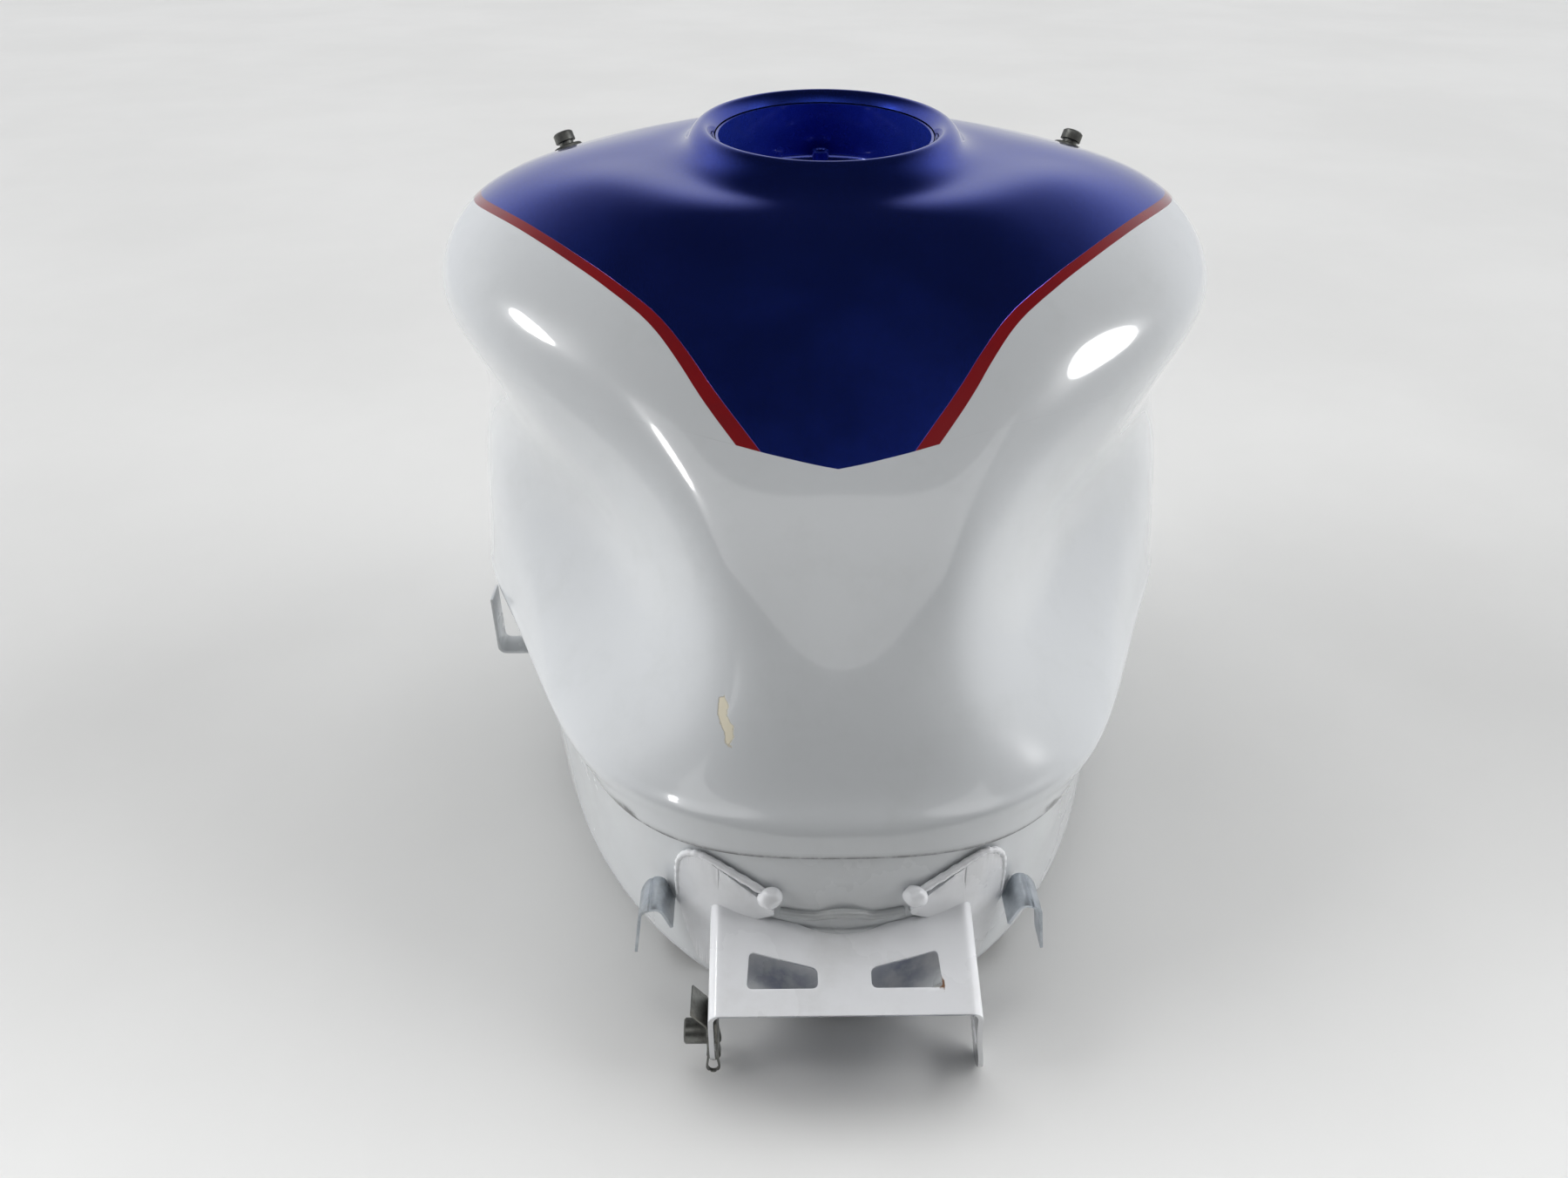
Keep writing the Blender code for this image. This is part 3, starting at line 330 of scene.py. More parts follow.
def closed_rows(name, rows, material=None):
    rows = np.asarray(rows)
    count = rows.shape[1]
    faces = grid_faces(len(rows), count)
    faces.append(tuple(range(count)))
    faces.append(tuple(reversed(range((len(rows) - 1) * count, len(rows) * count))))
    obj = add_mesh(name, rows.reshape(-1, 3), faces, material)
    face_outward(obj.data)
    return obj


def add_solidify(obj, thickness):
    solidify = obj.modifiers.new("thickness", "SOLIDIFY")
    solidify.thickness = thickness * MM
    solidify.offset = 0.0
    solidify.use_quality_normals = True


def add_bevel(obj, width, segments, angle):
    bevel = obj.modifiers.new("edges", "BEVEL")
    bevel.width = width * MM
    bevel.segments = segments
    bevel.limit_method = "ANGLE"
    bevel.angle_limit = radians(angle)
    bevel.harden_normals = False


def cut_away(obj, *others):
    for other in others:
        boolean = obj.modifiers.new("difference", "BOOLEAN")
        boolean.operation = "DIFFERENCE"
        boolean.object = other
        boolean.solver = "EXACT"


def apply_modifiers(obj, *used_up):
    """Turns the object into its finished mesh, then removes the helpers that shaped it."""
    bpy.context.view_layer.update()
    finished = bpy.data.meshes.new_from_object(obj.evaluated_get(bpy.context.evaluated_depsgraph_get()))
    finished.name = obj.name
    if obj.type == "MESH":
        obj.modifiers.clear()
        obj.data = finished
        result = obj
    else:
        name = obj.name
        matrix = obj.matrix_world.copy()
        bpy.data.objects.remove(obj)
        result = add_object(name, finished)
        result.matrix_world = matrix
    for helper in used_up:
        bpy.data.objects.remove(helper)
    return result


def smooth_by_angle(obj, degrees=35):
    """Smooth shading with edges kept sharp where faces meet at more than this."""
    smooth(obj)
    obj.data.set_sharp_from_angle(angle=radians(degrees))


def turned(name, profile, material=None, steps=96):
    on_axis = profile[0][0] == 0 and profile[-1][0] == 0
    count = len(profile)
    edges = [(i, i + 1) for i in range(count - 1)]
    if not on_axis:
        edges.append((count - 1, 0))
    mesh = bpy.data.meshes.new(name)
    mesh.from_pydata([(r * MM, 0, z * MM) for r, z in profile], edges, [])
    obj = add_object(name, mesh, material)
    screw = obj.modifiers.new("turn", "SCREW")
    screw.axis = "Z"
    screw.steps = steps
    screw.render_steps = steps
    screw.use_merge_vertices = True
    screw.merge_threshold = 0.00005
    return obj


def drill(name, radius, reach, steps):
    """A cylinder that cuts a round hole, standing this far out on both sides of its place."""
    return turned(name, [(0, reach), (radius, reach), (radius, -reach), (0, -reach)], steps=steps)


def place(obj, x, y, z, turn_x=0.0, turn_y=0.0):
    obj.location = (x * MM, y * MM, z * MM)
    obj.rotation_euler = (turn_x, turn_y, 0.0)
    return obj


def set_down(obj):
    """Writes the object's place into its mesh, so that it sits at the origin as CAD nodes do."""
    bpy.context.view_layer.update()
    obj.data.transform(obj.matrix_world)
    obj.matrix_world = Matrix.Identity(4)
    return obj


def finish_turned(obj):
    """Applies a turned piece, and shades it smooth between its edges."""
    apply_modifiers(obj)
    face_outward(obj.data)
    set_down(obj)
    smooth_by_angle(obj)
    return obj


def finish_sheet(obj, edge, segments=2):
    """Rounds a cut sheet's edges, and shades it smooth between them."""
    add_bevel(obj, edge, segments, 50)
    apply_modifiers(obj)
    smooth_by_angle(obj)


def corner_arc(before, corner, after, cut, steps):
    start = corner + (before - corner).normalized() * cut
    end = corner + (after - corner).normalized() * cut
    shares = [step / steps for step in range(steps + 1)]
    return [start * (1 - t) ** 2 + corner * 2 * t * (1 - t) + end * t * t for t in shares]


def rounded_path(corners, radius, steps=8):
    corners = [Vector(corner) for corner in corners]
    path = [corners[0]]
    for before, corner, after in zip(corners, corners[1:], corners[2:]):
        path += corner_arc(before, corner, after, radius, steps)
    return path + [corners[-1]]


def rounded_outline(corners, radius, steps=8):
    corners = [Vector(corner) for corner in corners]
    outline = []
    for before, corner, after in zip(corners[-1:] + corners[:-1], corners, corners[1:] + corners[:1]):
        cut = min(radius, (before - corner).length * 0.45, (after - corner).length * 0.45)
        outline += [(point.x, point.y) for point in corner_arc(before, corner, after, cut, steps)]
    return outline


def prism(name, outline, thickness, matrix):
    """A flat closed plate, centred on its own plane, then placed by the matrix."""
    count = len(outline)
    half = thickness / 2
    vertices = [(x, y, -half) for x, y in outline] + [(x, y, half) for x, y in outline]
    faces = [tuple(range(count)), tuple(range(count, 2 * count))]
    faces += [(i, (i + 1) % count, count + (i + 1) % count, count + i) for i in range(count)]
    obj = add_mesh(name, vertices, faces)
    obj.data.transform(matrix)
    face_outward(obj.data)
    return obj


def plane(origin, across, up):
    across = Vector(across).normalized()
    up = Vector(up).normalized()
    matrix = Matrix((across, up, across.cross(up))).transposed().to_4x4()
    matrix.translation = Vector(origin) * MM
    return matrix


def strip(name, path, width_vector, thickness, material, across_steps):
    """A bent strap: a path swept sideways by a vector, then given its thickness."""
    vertices = []
    for point in path:
        for step in range(across_steps + 1):
            vertices.append(Vector(point) + Vector(width_vector) * step / across_steps)
    obj = add_mesh(name, vertices, grid_faces(len(path), across_steps + 1, closed=False), material)
    add_solidify(obj, thickness)
    return obj


def rod(name, path, radius, rounding, material, swell=lambda index: 1.0):
    """A capped round bar along the path, with its radius changed from point to point by swell."""
    curve = bpy.data.curves.new(name, "CURVE")
    curve.dimensions = "3D"
    curve.bevel_depth = radius * MM
    curve.bevel_resolution = rounding
    curve.use_fill_caps = True
    spline = curve.splines.new("POLY")
    spline.points.add(len(path) - 1)
    for index, (x, y, z) in enumerate(path):
        spline.points[index].co = (x * MM, y * MM, z * MM, 1)
        spline.points[index].radius = swell(index)
    bar = apply_modifiers(add_object(name, curve))
    bar.data.materials.clear()
    bar.data.materials.append(material)
    smooth(bar)
    return bar


# ---- materials


class Nodes:
    """A small builder for the node tree of a material or of the world."""

    def __init__(self, owner, shader="Principled BSDF"):
        owner.use_nodes = True
        self.material = owner
        self.tree = owner.node_tree
        self.surface = self.tree.nodes[shader]

    def add(self, kind, inputs=(), **settings):
        node = self.tree.nodes.new(kind)
        for key, value in settings.items():
            setattr(node, key, value)
        for key, value in dict(inputs).items():
            node.inputs[key].default_value = value
        return node

    def link(self, source, target):
        self.tree.links.new(source, target)

    def put(self, socket, value):
        """Sets the socket to a number or a colour, or links another node's output to it."""
        if isinstance(value, (int, float)):
            socket.default_value = value
        elif isinstance(value, tuple):
            socket.default_value = (*value, 1.0)
        else:
            self.link(value, socket)

    def position(self):
        """Object coordinates, in metres, the same for every piece because each sits at the origin."""
        return self.add("ShaderNodeTexCoord").outputs["Object"]

    def noise(self, scale, detail=4.0, roughness=0.55, stretch=None):
        source = self.position()
        if stretch is not None:
            mapping = self.add("ShaderNodeMapping", {"Scale": stretch})
            self.link(source, mapping.inputs["Vector"])
            source = mapping.outputs["Vector"]
        noise = self.add("ShaderNodeTexNoise", {"Scale": scale, "Detail": detail, "Roughness": roughness})
        self.link(source, noise.inputs["Vector"])
        return noise.outputs["Fac"]

    def cells(self, scale):
        node = self.add("ShaderNodeTexVoronoi", {"Scale": scale}, feature="F1")
        self.link(self.position(), node.inputs["Vector"])
        return node

    def ramp(self, source, low, high, low_value=0.0, high_value=1.0):
        """source remapped from low..high to low_value..high_value, clamped and smooth."""
        values = {1: low, 2: high, 3: low_value, 4: high_value}
        node = self.add("ShaderNodeMapRange", values, interpolation_type="SMOOTHSTEP")
        self.link(source, node.inputs[0])
        return node.outputs[0]

    def math(self, operation, first, second):
        node = self.add("ShaderNodeMath", operation=operation)
        self.put(node.inputs[0], first)
        self.put(node.inputs[1], second)
        return node.outputs[0]

    def times(self, first, second):
        return self.math("MULTIPLY", first, second)

    def plus(self, first, second):
        return self.math("ADD", first, second)

    def most(self, first, second):
        return self.math("MAXIMUM", first, second)

    def mix(self, share, first, second):
        node = self.add("ShaderNodeMix", data_type="RGBA")
        for index, value in ((0, share), (6, first), (7, second)):
            self.put(node.inputs[index], value)
        return node.outputs[2]

    def attribute(self, name):
        return self.add("ShaderNodeAttribute", attribute_name=name).outputs["Fac"]

    def set(self, **values):
        for key, value in values.items():
            self.put(self.surface.inputs[key.replace("_", " ")], value)

    def bumps(self, *layers):
        """Bump nodes chained from (height source, distance in millimetres, strength)."""
        normal = None
        for height, distance, strength in layers:
            node = self.add("ShaderNodeBump", {"Distance": distance * MM, "Strength": strength})
            self.link(height, node.inputs["Height"])
            if normal is not None:
                self.link(normal, node.inputs["Normal"])
            normal = node.outputs["Normal"]
        self.link(normal, self.surface.inputs["Normal"])


def new_material(name):
    return Nodes(bpy.data.materials.new(name))


WHITE = (0.66, 0.68, 0.695)
RED = (0.23, 0.007, 0.010)


def blue_metallic(nodes):
    """Deep blue with fine flakes: colour and a flake height for the bump."""
    flakes = nodes.cells(2600.0)
    sparkle = nodes.times(nodes.ramp(flakes.outputs["Color"], 0.35, 0.95), 0.3)
    cloud = nodes.ramp(nodes.noise(9.0, 3.0), 0.3, 0.7)
    deep = nodes.mix(cloud, (0.017, 0.040, 0.38), (0.025, 0.058, 0.47))
    return nodes.mix(sparkle, deep, (0.05, 0.12, 0.78)), flakes.outputs["Distance"]


def make_shell_paint():
    """White, a red line and metallic blue over steel, told apart by the shell's attributes."""
    nodes = new_material("shell_paint")
    side = nodes.attribute("stripe_side")
    inside = nodes.attribute("inside_sheet")
    white_side = nodes.ramp(side, 0.96, 1.04)
    blue_side = nodes.ramp(side, -1.04, -0.96, 1.0, 0.0)
    past_end = nodes.ramp(nodes.attribute("below_blue"), -0.05, 0.05)
    before_end = nodes.math("SUBTRACT", 1.0, past_end)
    dust = nodes.noise(38.0, 6.0, 0.65)
    white = nodes.mix(nodes.ramp(dust, 0.45, 0.8), WHITE, (0.63, 0.65, 0.66))
    blue, flake = blue_metallic(nodes)
    red = nodes.mix(nodes.ramp(dust, 0.4, 0.7), RED, (0.19, 0.008, 0.012))
    colour = nodes.mix(white_side, red, white)
    colour = nodes.mix(blue_side, colour, blue)
    colour = nodes.mix(past_end, colour, white)
    bare = nodes.mix(nodes.noise(60.0), (0.33, 0.33, 0.32), (0.45, 0.44, 0.42))
    colour = nodes.mix(inside, colour, bare)
    patches = nodes.ramp(nodes.noise(150.0, 6.0, 0.7), 0.25, 0.6, 0.35, 1.0)
    edge_dirt = nodes.times(nodes.attribute("edge_dirt"), patches)
    colour = nodes.mix(edge_dirt, colour, (0.05, 0.05, 0.052))
    is_blue = nodes.times(blue_side, before_end)
    chip_edge = nodes.plus(nodes.attribute("chip"), nodes.times(nodes.noise(420.0, 5.0, 0.7), 0.55))
    chipped = nodes.ramp(chip_edge, 0.66, 0.72)
    rim = nodes.ramp(chip_edge, 0.56, 0.64)
    colour = nodes.mix(rim, colour, (0.62, 0.57, 0.46))
    colour = nodes.mix(chipped, colour, (0.80, 0.74, 0.58))
    metal = nodes.most(nodes.times(is_blue, 0.94), nodes.times(inside, 0.8))
    rough = nodes.ramp(nodes.noise(14.0, 5.0), 0.3, 0.75, 0.16, 0.26)
    rough = nodes.most(nodes.most(rough, nodes.times(inside, 0.45)), nodes.times(chipped, 0.6))
    nodes.set(Base_Color=colour, Metallic=metal, Roughness=rough, Coat_Weight=0.85, Coat_Roughness=0.035)
    nodes.bumps(
        (nodes.noise(210.0, 2.0, 0.4), 0.05, 0.10),
        (nodes.noise(26.0, 2.0, 0.4), 0.25, 0.12),
        (nodes.times(flake, is_blue), 0.05, 0.10),
        (nodes.times(nodes.plus(white_side, blue_side), before_end), 0.08, 0.6),
        (nodes.times(rim, -1.0), 0.25, 0.8),
    )
    return nodes.material


def make_white_paint(name="white_paint_coat", dirt=0.25, base=WHITE):
    """Gloss white over steel, with dull dust where it gathers, small chips, and wear and a dark blue-grey
    tint from the attributes.
    """
    nodes = new_material(name)
    dust = nodes.noise(30.0, 6.0, 0.65)
    white = nodes.mix(nodes.ramp(dust, 0.42, 0.8, 0.0, dirt), base, (0.54, 0.54, 0.52))
    chips = nodes.noise(160.0, 8.0, 0.75)
    chipped = nodes.ramp(chips, 0.735, 0.75)
    colour = nodes.mix(chipped, white, (0.22, 0.22, 0.23))
    patches = nodes.ramp(nodes.noise(75.0, 5.0), 0.35, 0.65, 0.35, 1.0)
    # A dark blue-grey tint, in patches, wherever the attribute asks for it.
    blue_grey_share = nodes.times(nodes.attribute("blue_grey_tint"), patches)
    colour = nodes.mix(blue_grey_share, colour, (0.045, 0.075, 0.20))
    rust = nodes.ramp(nodes.plus(nodes.attribute("rust"), nodes.times(chips, 0.6)), 0.85, 0.98)
    rust_colour = nodes.mix(nodes.noise(400.0, 5.0), (0.12, 0.05, 0.02), (0.28, 0.15, 0.08))
    colour = nodes.mix(rust, colour, rust_colour)
    bare = nodes.ramp(nodes.plus(nodes.attribute("bare"), nodes.times(dust, 0.3)), 0.45, 0.7)
    colour = nodes.mix(bare, colour, nodes.mix(chips, (0.24, 0.25, 0.26), (0.42, 0.43, 0.44)))
    rough = nodes.ramp(nodes.noise(18.0, 5.0), 0.3, 0.75, 0.2, 0.34)
    wear_and_far_floor = nodes.most(nodes.most(chipped, rust), nodes.times(bare, 0.7))
    nodes.set(Base_Color=colour, Metallic=nodes.times(bare, 0.6), Coat_Weight=0.7, Coat_Roughness=0.06,
              Roughness=nodes.most(rough, nodes.times(wear_and_far_floor, 0.6)))
    nodes.bumps(
        (nodes.noise(180.0, 3.0, 0.5), 0.08, 0.18),
        (nodes.times(chipped, -1.0), 0.12, 0.7),
    )
    return nodes.material


def make_blue_paint():
    nodes = new_material("blue_paint_coat")
    blue, flake = blue_metallic(nodes)
    dust = nodes.noise(45.0, 6.0, 0.65)
    colour = nodes.mix(nodes.ramp(dust, 0.55, 0.85, 0.0, 0.25), blue, (0.10, 0.12, 0.20))
    nodes.set(Base_Color=colour, Metallic=0.55, Roughness=nodes.ramp(dust, 0.3, 0.8, 0.2, 0.34),
              Coat_Weight=0.8, Coat_Roughness=0.05)
    nodes.bumps((nodes.noise(190.0, 2.0, 0.4), 0.06, 0.15), (flake, 0.05, 0.1))
    return nodes.material


def make_zinc(name="zinc_plate", light=(0.46, 0.46, 0.44), dark=(0.20, 0.20, 0.18)):
    """Plated steel with a cloudy passivated film, dulled in patches."""
    nodes = new_material(name)
    cloud = nodes.noise(110.0, 6.0, 0.7)
    grime = nodes.noise(34.0, 5.0, 0.6)
    colour = nodes.mix(nodes.ramp(cloud, 0.3, 0.72), light, dark)
    colour = nodes.mix(nodes.ramp(grime, 0.5, 0.75, 0.0, 0.55), colour, (0.16, 0.13, 0.09))
    nodes.set(Base_Color=colour, Metallic=nodes.ramp(grime, 0.5, 0.8, 1.0, 0.55),
              Roughness=nodes.ramp(cloud, 0.25, 0.75, 0.3, 0.55))
    nodes.bumps((nodes.noise(600.0, 5.0, 0.6), 0.06, 0.35), (cloud, 0.1, 0.2))
    return nodes.material


def make_rubber():
    nodes = new_material("worn_rubber")
    cloud = nodes.noise(80.0, 6.0, 0.65)
    colour = nodes.mix(nodes.ramp(cloud, 0.35, 0.75), (0.012, 0.012, 0.013), (0.055, 0.053, 0.05))
    nodes.set(Base_Color=colour, Roughness=nodes.ramp(cloud, 0.3, 0.75, 0.55, 0.8))
    nodes.bumps((nodes.noise(500.0, 5.0, 0.6), 0.08, 0.4))
    return nodes.material


def make_plastic(name, light, dark):
    nodes = new_material(name)
    cloud = nodes.noise(50.0, 5.0, 0.6)
    nodes.set(Base_Color=nodes.mix(nodes.ramp(cloud, 0.3, 0.75), dark, light),
              Roughness=nodes.ramp(cloud, 0.3, 0.75, 0.38, 0.58))
    nodes.bumps((nodes.cells(1400.0).outputs["Distance"], 0.05, 0.35), (nodes.noise(300.0, 4.0), 0.04, 0.2))
    return nodes.material


def make_aluminium():
    nodes = new_material("drawn_aluminium")
    lines = nodes.noise(220.0, 4.0, 0.6, stretch=(1.0, 1.0, 12.0))
    nodes.set(Base_Color=nodes.mix(nodes.ramp(lines, 0.3, 0.7), (0.50, 0.51, 0.52), (0.66, 0.67, 0.68)),
              Metallic=1.0, Roughness=nodes.ramp(lines, 0.3, 0.7, 0.28, 0.42))
    nodes.bumps((lines, 0.05, 0.25))
    return nodes.material


SHELL_PAINT = make_shell_paint()
WHITE_PAINT = make_white_paint()
HEM_PAINT = make_white_paint("hem_paint_coat", 0.6, (0.43, 0.45, 0.46))
BRACKET_PAINT = make_white_paint("bracket_paint_coat", 0.35, (0.83, 0.84, 0.86))
BLUE_PAINT = make_blue_paint()
ZINC = make_zinc()
PALE_ZINC = make_zinc("pale_zinc_plate", (0.62, 0.66, 0.70), (0.46, 0.50, 0.54))
DARK_ZINC = make_zinc("dark_zinc_plate", (0.24, 0.245, 0.23), (0.10, 0.10, 0.09))
RUBBER = make_rubber()
BLACK_PLASTIC = make_plastic("black_moulding", (0.045, 0.045, 0.047), (0.018, 0.018, 0.02))
GREY_PLASTIC = make_plastic("grey_moulding", (0.40, 0.39, 0.36), (0.26, 0.26, 0.24))
ALUMINIUM = make_aluminium()


# ---- shell


def fold_columns(columns):
    """Column numbers of the left side counted from the rear middle, as on the right."""
    columns = np.asarray(columns, float)
    return np.minimum(columns, COLUMN_COUNT - columns)


def stripe_line(steps=240):
    """Cage columns, cage rows and points along the stripe's middle on the right side."""
    columns = np.linspace(STRIPE_START, 8.0, steps)
    rows = read_off(STRIPE, columns)
    smoothed = np.convolve(np.pad(rows, 12, mode="edge"), np.ones(25) / 25, mode="valid")
    points = [spline_points(SHELL_NET, [row], [column])[0, 0] for row, column in zip(smoothed, columns)]
    return columns, smoothed, np.array(points)


def stripe_sides(points, rows, columns):
    """Distance from the stripe's middle in half widths: negative on the blue side, positive on the white."""
    line_columns, line_rows, line = stripe_line()
    flat = points.reshape(-1, 3).copy()
    flat[:, 0] = np.abs(flat[:, 0])
    nearest = np.full(len(flat), np.inf)
    for first, second in zip(line, line[1:]):
        span = second - first
        share = np.clip(((flat - first) @ span) / (span @ span), 0, 1)
        gap = np.linalg.norm(flat - first - share[:, None] * span, axis=1)
        nearest = np.minimum(nearest, gap)
    nearest = nearest.reshape(points.shape[:2])
    folded = fold_columns(columns)
    edge_row = np.interp(folded, line_columns, line_rows)
    edge_row = np.where(folded < STRIPE_START, read_off(STRIPE, folded), edge_row)
    side = np.where(np.asarray(rows)[:, None] > edge_row[None, :], 1.0, -1.0)
    rise = smooth_step(points[:, :, 2], 215, 268)
    half_width = (STRIPE_WIDTH_LOW + (STRIPE_WIDTH_HIGH - STRIPE_WIDTH_LOW) * rise) / 2
    return side * nearest / half_width


def ends_below(rows, columns):
    """About how many millimetres each place is below the blue's lower edge, near the spine."""
    end_row = read_off(BLUE_END, fold_columns(columns))
    return (np.asarray(rows)[:, None] - end_row[None, :]) * ROW_HEIGHT


def shape_shell(points, rows, columns):
    """Small pressed features: the lower crease, the front cover's ledge and the slots beside its studs."""
    normals = outward_normals(points)
    rows = np.asarray(rows)[:, None]
    folded = fold_columns(columns)[None, :]
    crease = bump(rows, CREASE_ROW - 0.15, 0.5) * smooth_step(folded, 0.35, 1.3)
    ledge_row = 4.62 - 0.25 * smooth_step(folded, 5.6, 8.0)
    ledge = smooth_step(rows, ledge_row, ledge_row + 0.1) * (1 - smooth_step(rows, 4.95, 5.6))
    ledge = ledge * smooth_step(folded, 5.3, 5.8)
    slot = bump(rows, 4.42, 0.16) * bump(folded, 6.85, 0.22)
    lift = CREASE_LIFT * crease - LEDGE_DEPTH * ledge - SLOT_DEPTH * slot
    return points + normals * lift[:, :, None]


def chip_field(points):
    """One where the cream chip on the left of the spine is, falling to zero round it."""
    x, y, z = points[:, :, 0], points[:, :, 1], points[:, :, 2]
    along_chip = (z - 128.0) / 10.5
    across_chip = (x + 46.5 + 0.2 * (z - 128.0)) / 2.5
    return np.clip(1.0 - (along_chip ** 2 + across_chip ** 2), 0, 1) * (y < 0)


def seam_chip_field(points):
    """One where paint is chipped at the seam, falling to zero round each place."""
    chips = np.zeros(points.shape[:2])
    for x, y, z, radius in SEAM_CHIPS:
        distance = np.linalg.norm((points - (x, y, z)) * (0.6, 0.6, 1.3), axis=2)
        chips = np.maximum(chips, np.clip(1.9 - distance / radius, 0, 1))
    return chips


def store(mesh, name, values):
    layer = mesh.attributes.new(name, "FLOAT", "POINT")
    layer.data.foreach_set("value", np.ascontiguousarray(values.reshape(-1), np.float32))


def make_shell():
    last = len(shell_rows()) - 1
    rows = np.linspace(0, last, last * SHELL_ROW_STEPS + 1)
    columns = columns_round(SHELL_COLUMN_STEPS)
    drawn = spline_points(SHELL_NET, rows, columns)
    outer = shape_shell(drawn, rows, columns)
    inner = outer - outward_normals(outer) * SHEET
    count = len(columns)
    shift = len(rows) * count
    vertices = np.concatenate([outer.reshape(-1, 3), inner.reshape(-1, 3)])
    faces = grid_faces(len(rows), count)
    faces += [tuple(index + shift for index in reversed(face)) for face in faces]
    for start, turn in ((0, 1), ((len(rows) - 1) * count, -1)):
        for j in range(count):
            k = (j + 1) % count
            quad = (start + j, start + k, start + shift + k, start + shift + j)
            faces.append(quad[::turn])
    shell = add_mesh("painted_shell", vertices, faces, SHELL_PAINT)
    smooth_by_angle(shell, 50)
    rim_dirt = 0.95 * smooth_step(rows, last - 0.14, last - 0.02)[:, None] * np.ones(count)[None, :]
    both_sides = {
        "stripe_side": stripe_sides(drawn, rows, columns),
        "below_blue": ends_below(rows, columns),
        "chip": chip_field(drawn),
    }
    for name, values in both_sides.items():
        store(shell.data, name, np.concatenate([values.reshape(-1)] * 2))
    store(shell.data, "inside_sheet", np.concatenate([np.zeros(shift), np.ones(shift)]))
    dirt = np.maximum(rim_dirt, seam_chip_field(drawn))
    store(shell.data, "edge_dirt", np.concatenate([dirt.reshape(-1), np.zeros(shift)]))
    dress(shell, "upper_shell")


# ---- pan


def pan_wall_rows(columns, fine):
    last = len(shell_rows()) - 1
    near_seam = spline_points(SHELL_NET, [last - 1, last - 0.6, last - 0.2, last], columns)
    tucked = near_seam - outward_normals(near_seam) * (SHEET + GAP)
    rim = tucked[1]
    seam = tucked[3]
    foot_points = mirrored([[(x, y, PAN_CORNER) for x, y in PAN_FOOT]] * 2)
    foot = spline_points(spline_net(foot_points), [0], columns)[0]
    rows = [rim, seam]
    for share in np.linspace(0, 1, fine + 1)[1:]:
        row = seam + (foot - seam) * (share ** 0.8)
        row[:, 2] = seam[:, 2] + (foot[:, 2] - seam[:, 2]) * share
        rows.append(row)
    return rows


def pan_bowl_rows(columns, inset, fine=14):
    rows = np.array(pan_wall_rows(columns, fine))
    rows = rows - outward_normals(rows) * inset
    rows[-1, :, 2] = PAN_CORNER
    foot = rows[-1]
    middle = np.array([0, PUMP_Y, 0])
    inward = (middle - foot) * (1, 1, 0)
    inward = inward / np.linalg.norm(inward, axis=1, keepdims=True)
    corner = [foot]
    radius = PAN_CORNER - inset
    for turn in range(15, 91, 15):
        down = np.array([0, 0, radius * sin(radians(turn))])
        corner.append(foot + inward * radius * (1 - cos(radians(turn))) - down)
    rows = list(rows) + corner[1:]
    if inset:
        rows = [rows[0] + (0, 0, 30)] + rows
    return np.array(rows)


def channel_section(y, height, grow):
    top = CHANNEL_HALF + grow
    low = -30.0
    flare = CHANNEL_FLARE * max(height, 1.0) / TUNNEL_HEIGHT
    roof = height + grow
    round_off = min(12.0, height * 0.7)
    half = [(top + flare * (1 - low / max(height, 10.0)), low), (top + flare, 0.0)]
    for turn in range(0, 91, 10):
        x = top - round_off + round_off * cos(radians(turn))
        z = roof - round_off + round_off * sin(radians(turn))
        half.append((x + flare * 0.25 * cos(radians(turn)), z))
    right = [(x, y, z) for x, z in half]
    left = [(-x, y, z) for x, z in reversed(half)]
    return right + left


def make_channel(name, grow):
    keys_y = [-190, -184, -174, -166, -42, -30, -2, 12, 290]
    pocket = [POCKET_HEIGHT * share for share in (0.55, 0.92, 1, 1)]
    keys_z = [1.0, *pocket, POCKET_HEIGHT + 4, TUNNEL_HEIGHT - 5, TUNNEL_HEIGHT, TUNNEL_HEIGHT]
    rows = []
    for y, height in zip(keys_y, keys_z):
        back = grow if y < -160 else 0
        rows.append(channel_section(y - back, height, grow))
    return closed_rows(name, rows)


def make_pan():
    columns = columns_round(PAN_COLUMN_STEPS)
    pan = closed_rows("pan_skin", pan_bowl_rows(columns, 0.0), WHITE_PAINT)
    inside = closed_rows("pan_inside", pan_bowl_rows(columns, SHEET))
    channel = make_channel("channel", 0.0)
    grown = make_channel("channel_inside", SHEET)
    cut_away(inside, grown)
    drills = [place(drill("pump_hole", PUMP_HOLE, 10, 96), 0, PUMP_Y, POCKET_HEIGHT)]
    for side in (-1, 1):
        hole = drill(f"tube_hole_{side}", TUBE_RADIUS + GAP, 10, 32)
        drills.append(place(hole, side * TUBE_EXIT_X, TUBE_EXIT_Y, TUNNEL_HEIGHT))
    cut_away(pan, channel, inside, *drills)
    apply_modifiers(pan, inside, channel, grown, *drills)
    smooth_by_angle(pan, 32)
    points = points_of(pan)
    # The pan's wall where it shows through the bracket's windows is tinted dark blue-grey.
    behind_windows = bump(np.abs(points[:, 0]), 25, 24) * bump(points[:, 2], 26, 26) * (points[:, 1] < -190)
    store(pan.data, "blue_grey_tint", 0.8 * behind_windows)
    dress(pan, "bottom_pan")


# ---- filler


def filler_place(obj, x=0.0, y=0.0, z=0.0):
    spot = Vector((0, FILLER_Y, TANK_HEIGHT)) + Matrix.Rotation(FILLER_TILT, 3, "X") @ Vector((x, y, z))
    return place(obj, *spot, turn_x=FILLER_TILT)


def tube_top(side):
    """Where a tube comes up through the cup's floor, across and forward of the filler's middle."""
    angle = radians(62)
    return side * TUBE_CIRCLE * sin(angle) * 0.98, TUBE_CIRCLE * cos(angle) * 0.98


def cup_outer():
    widest_step = 2 * pi / 14 * COLUMN_COUNT / 40
    return CUP_RADIUS * cos(widest_step / 2) - GAP


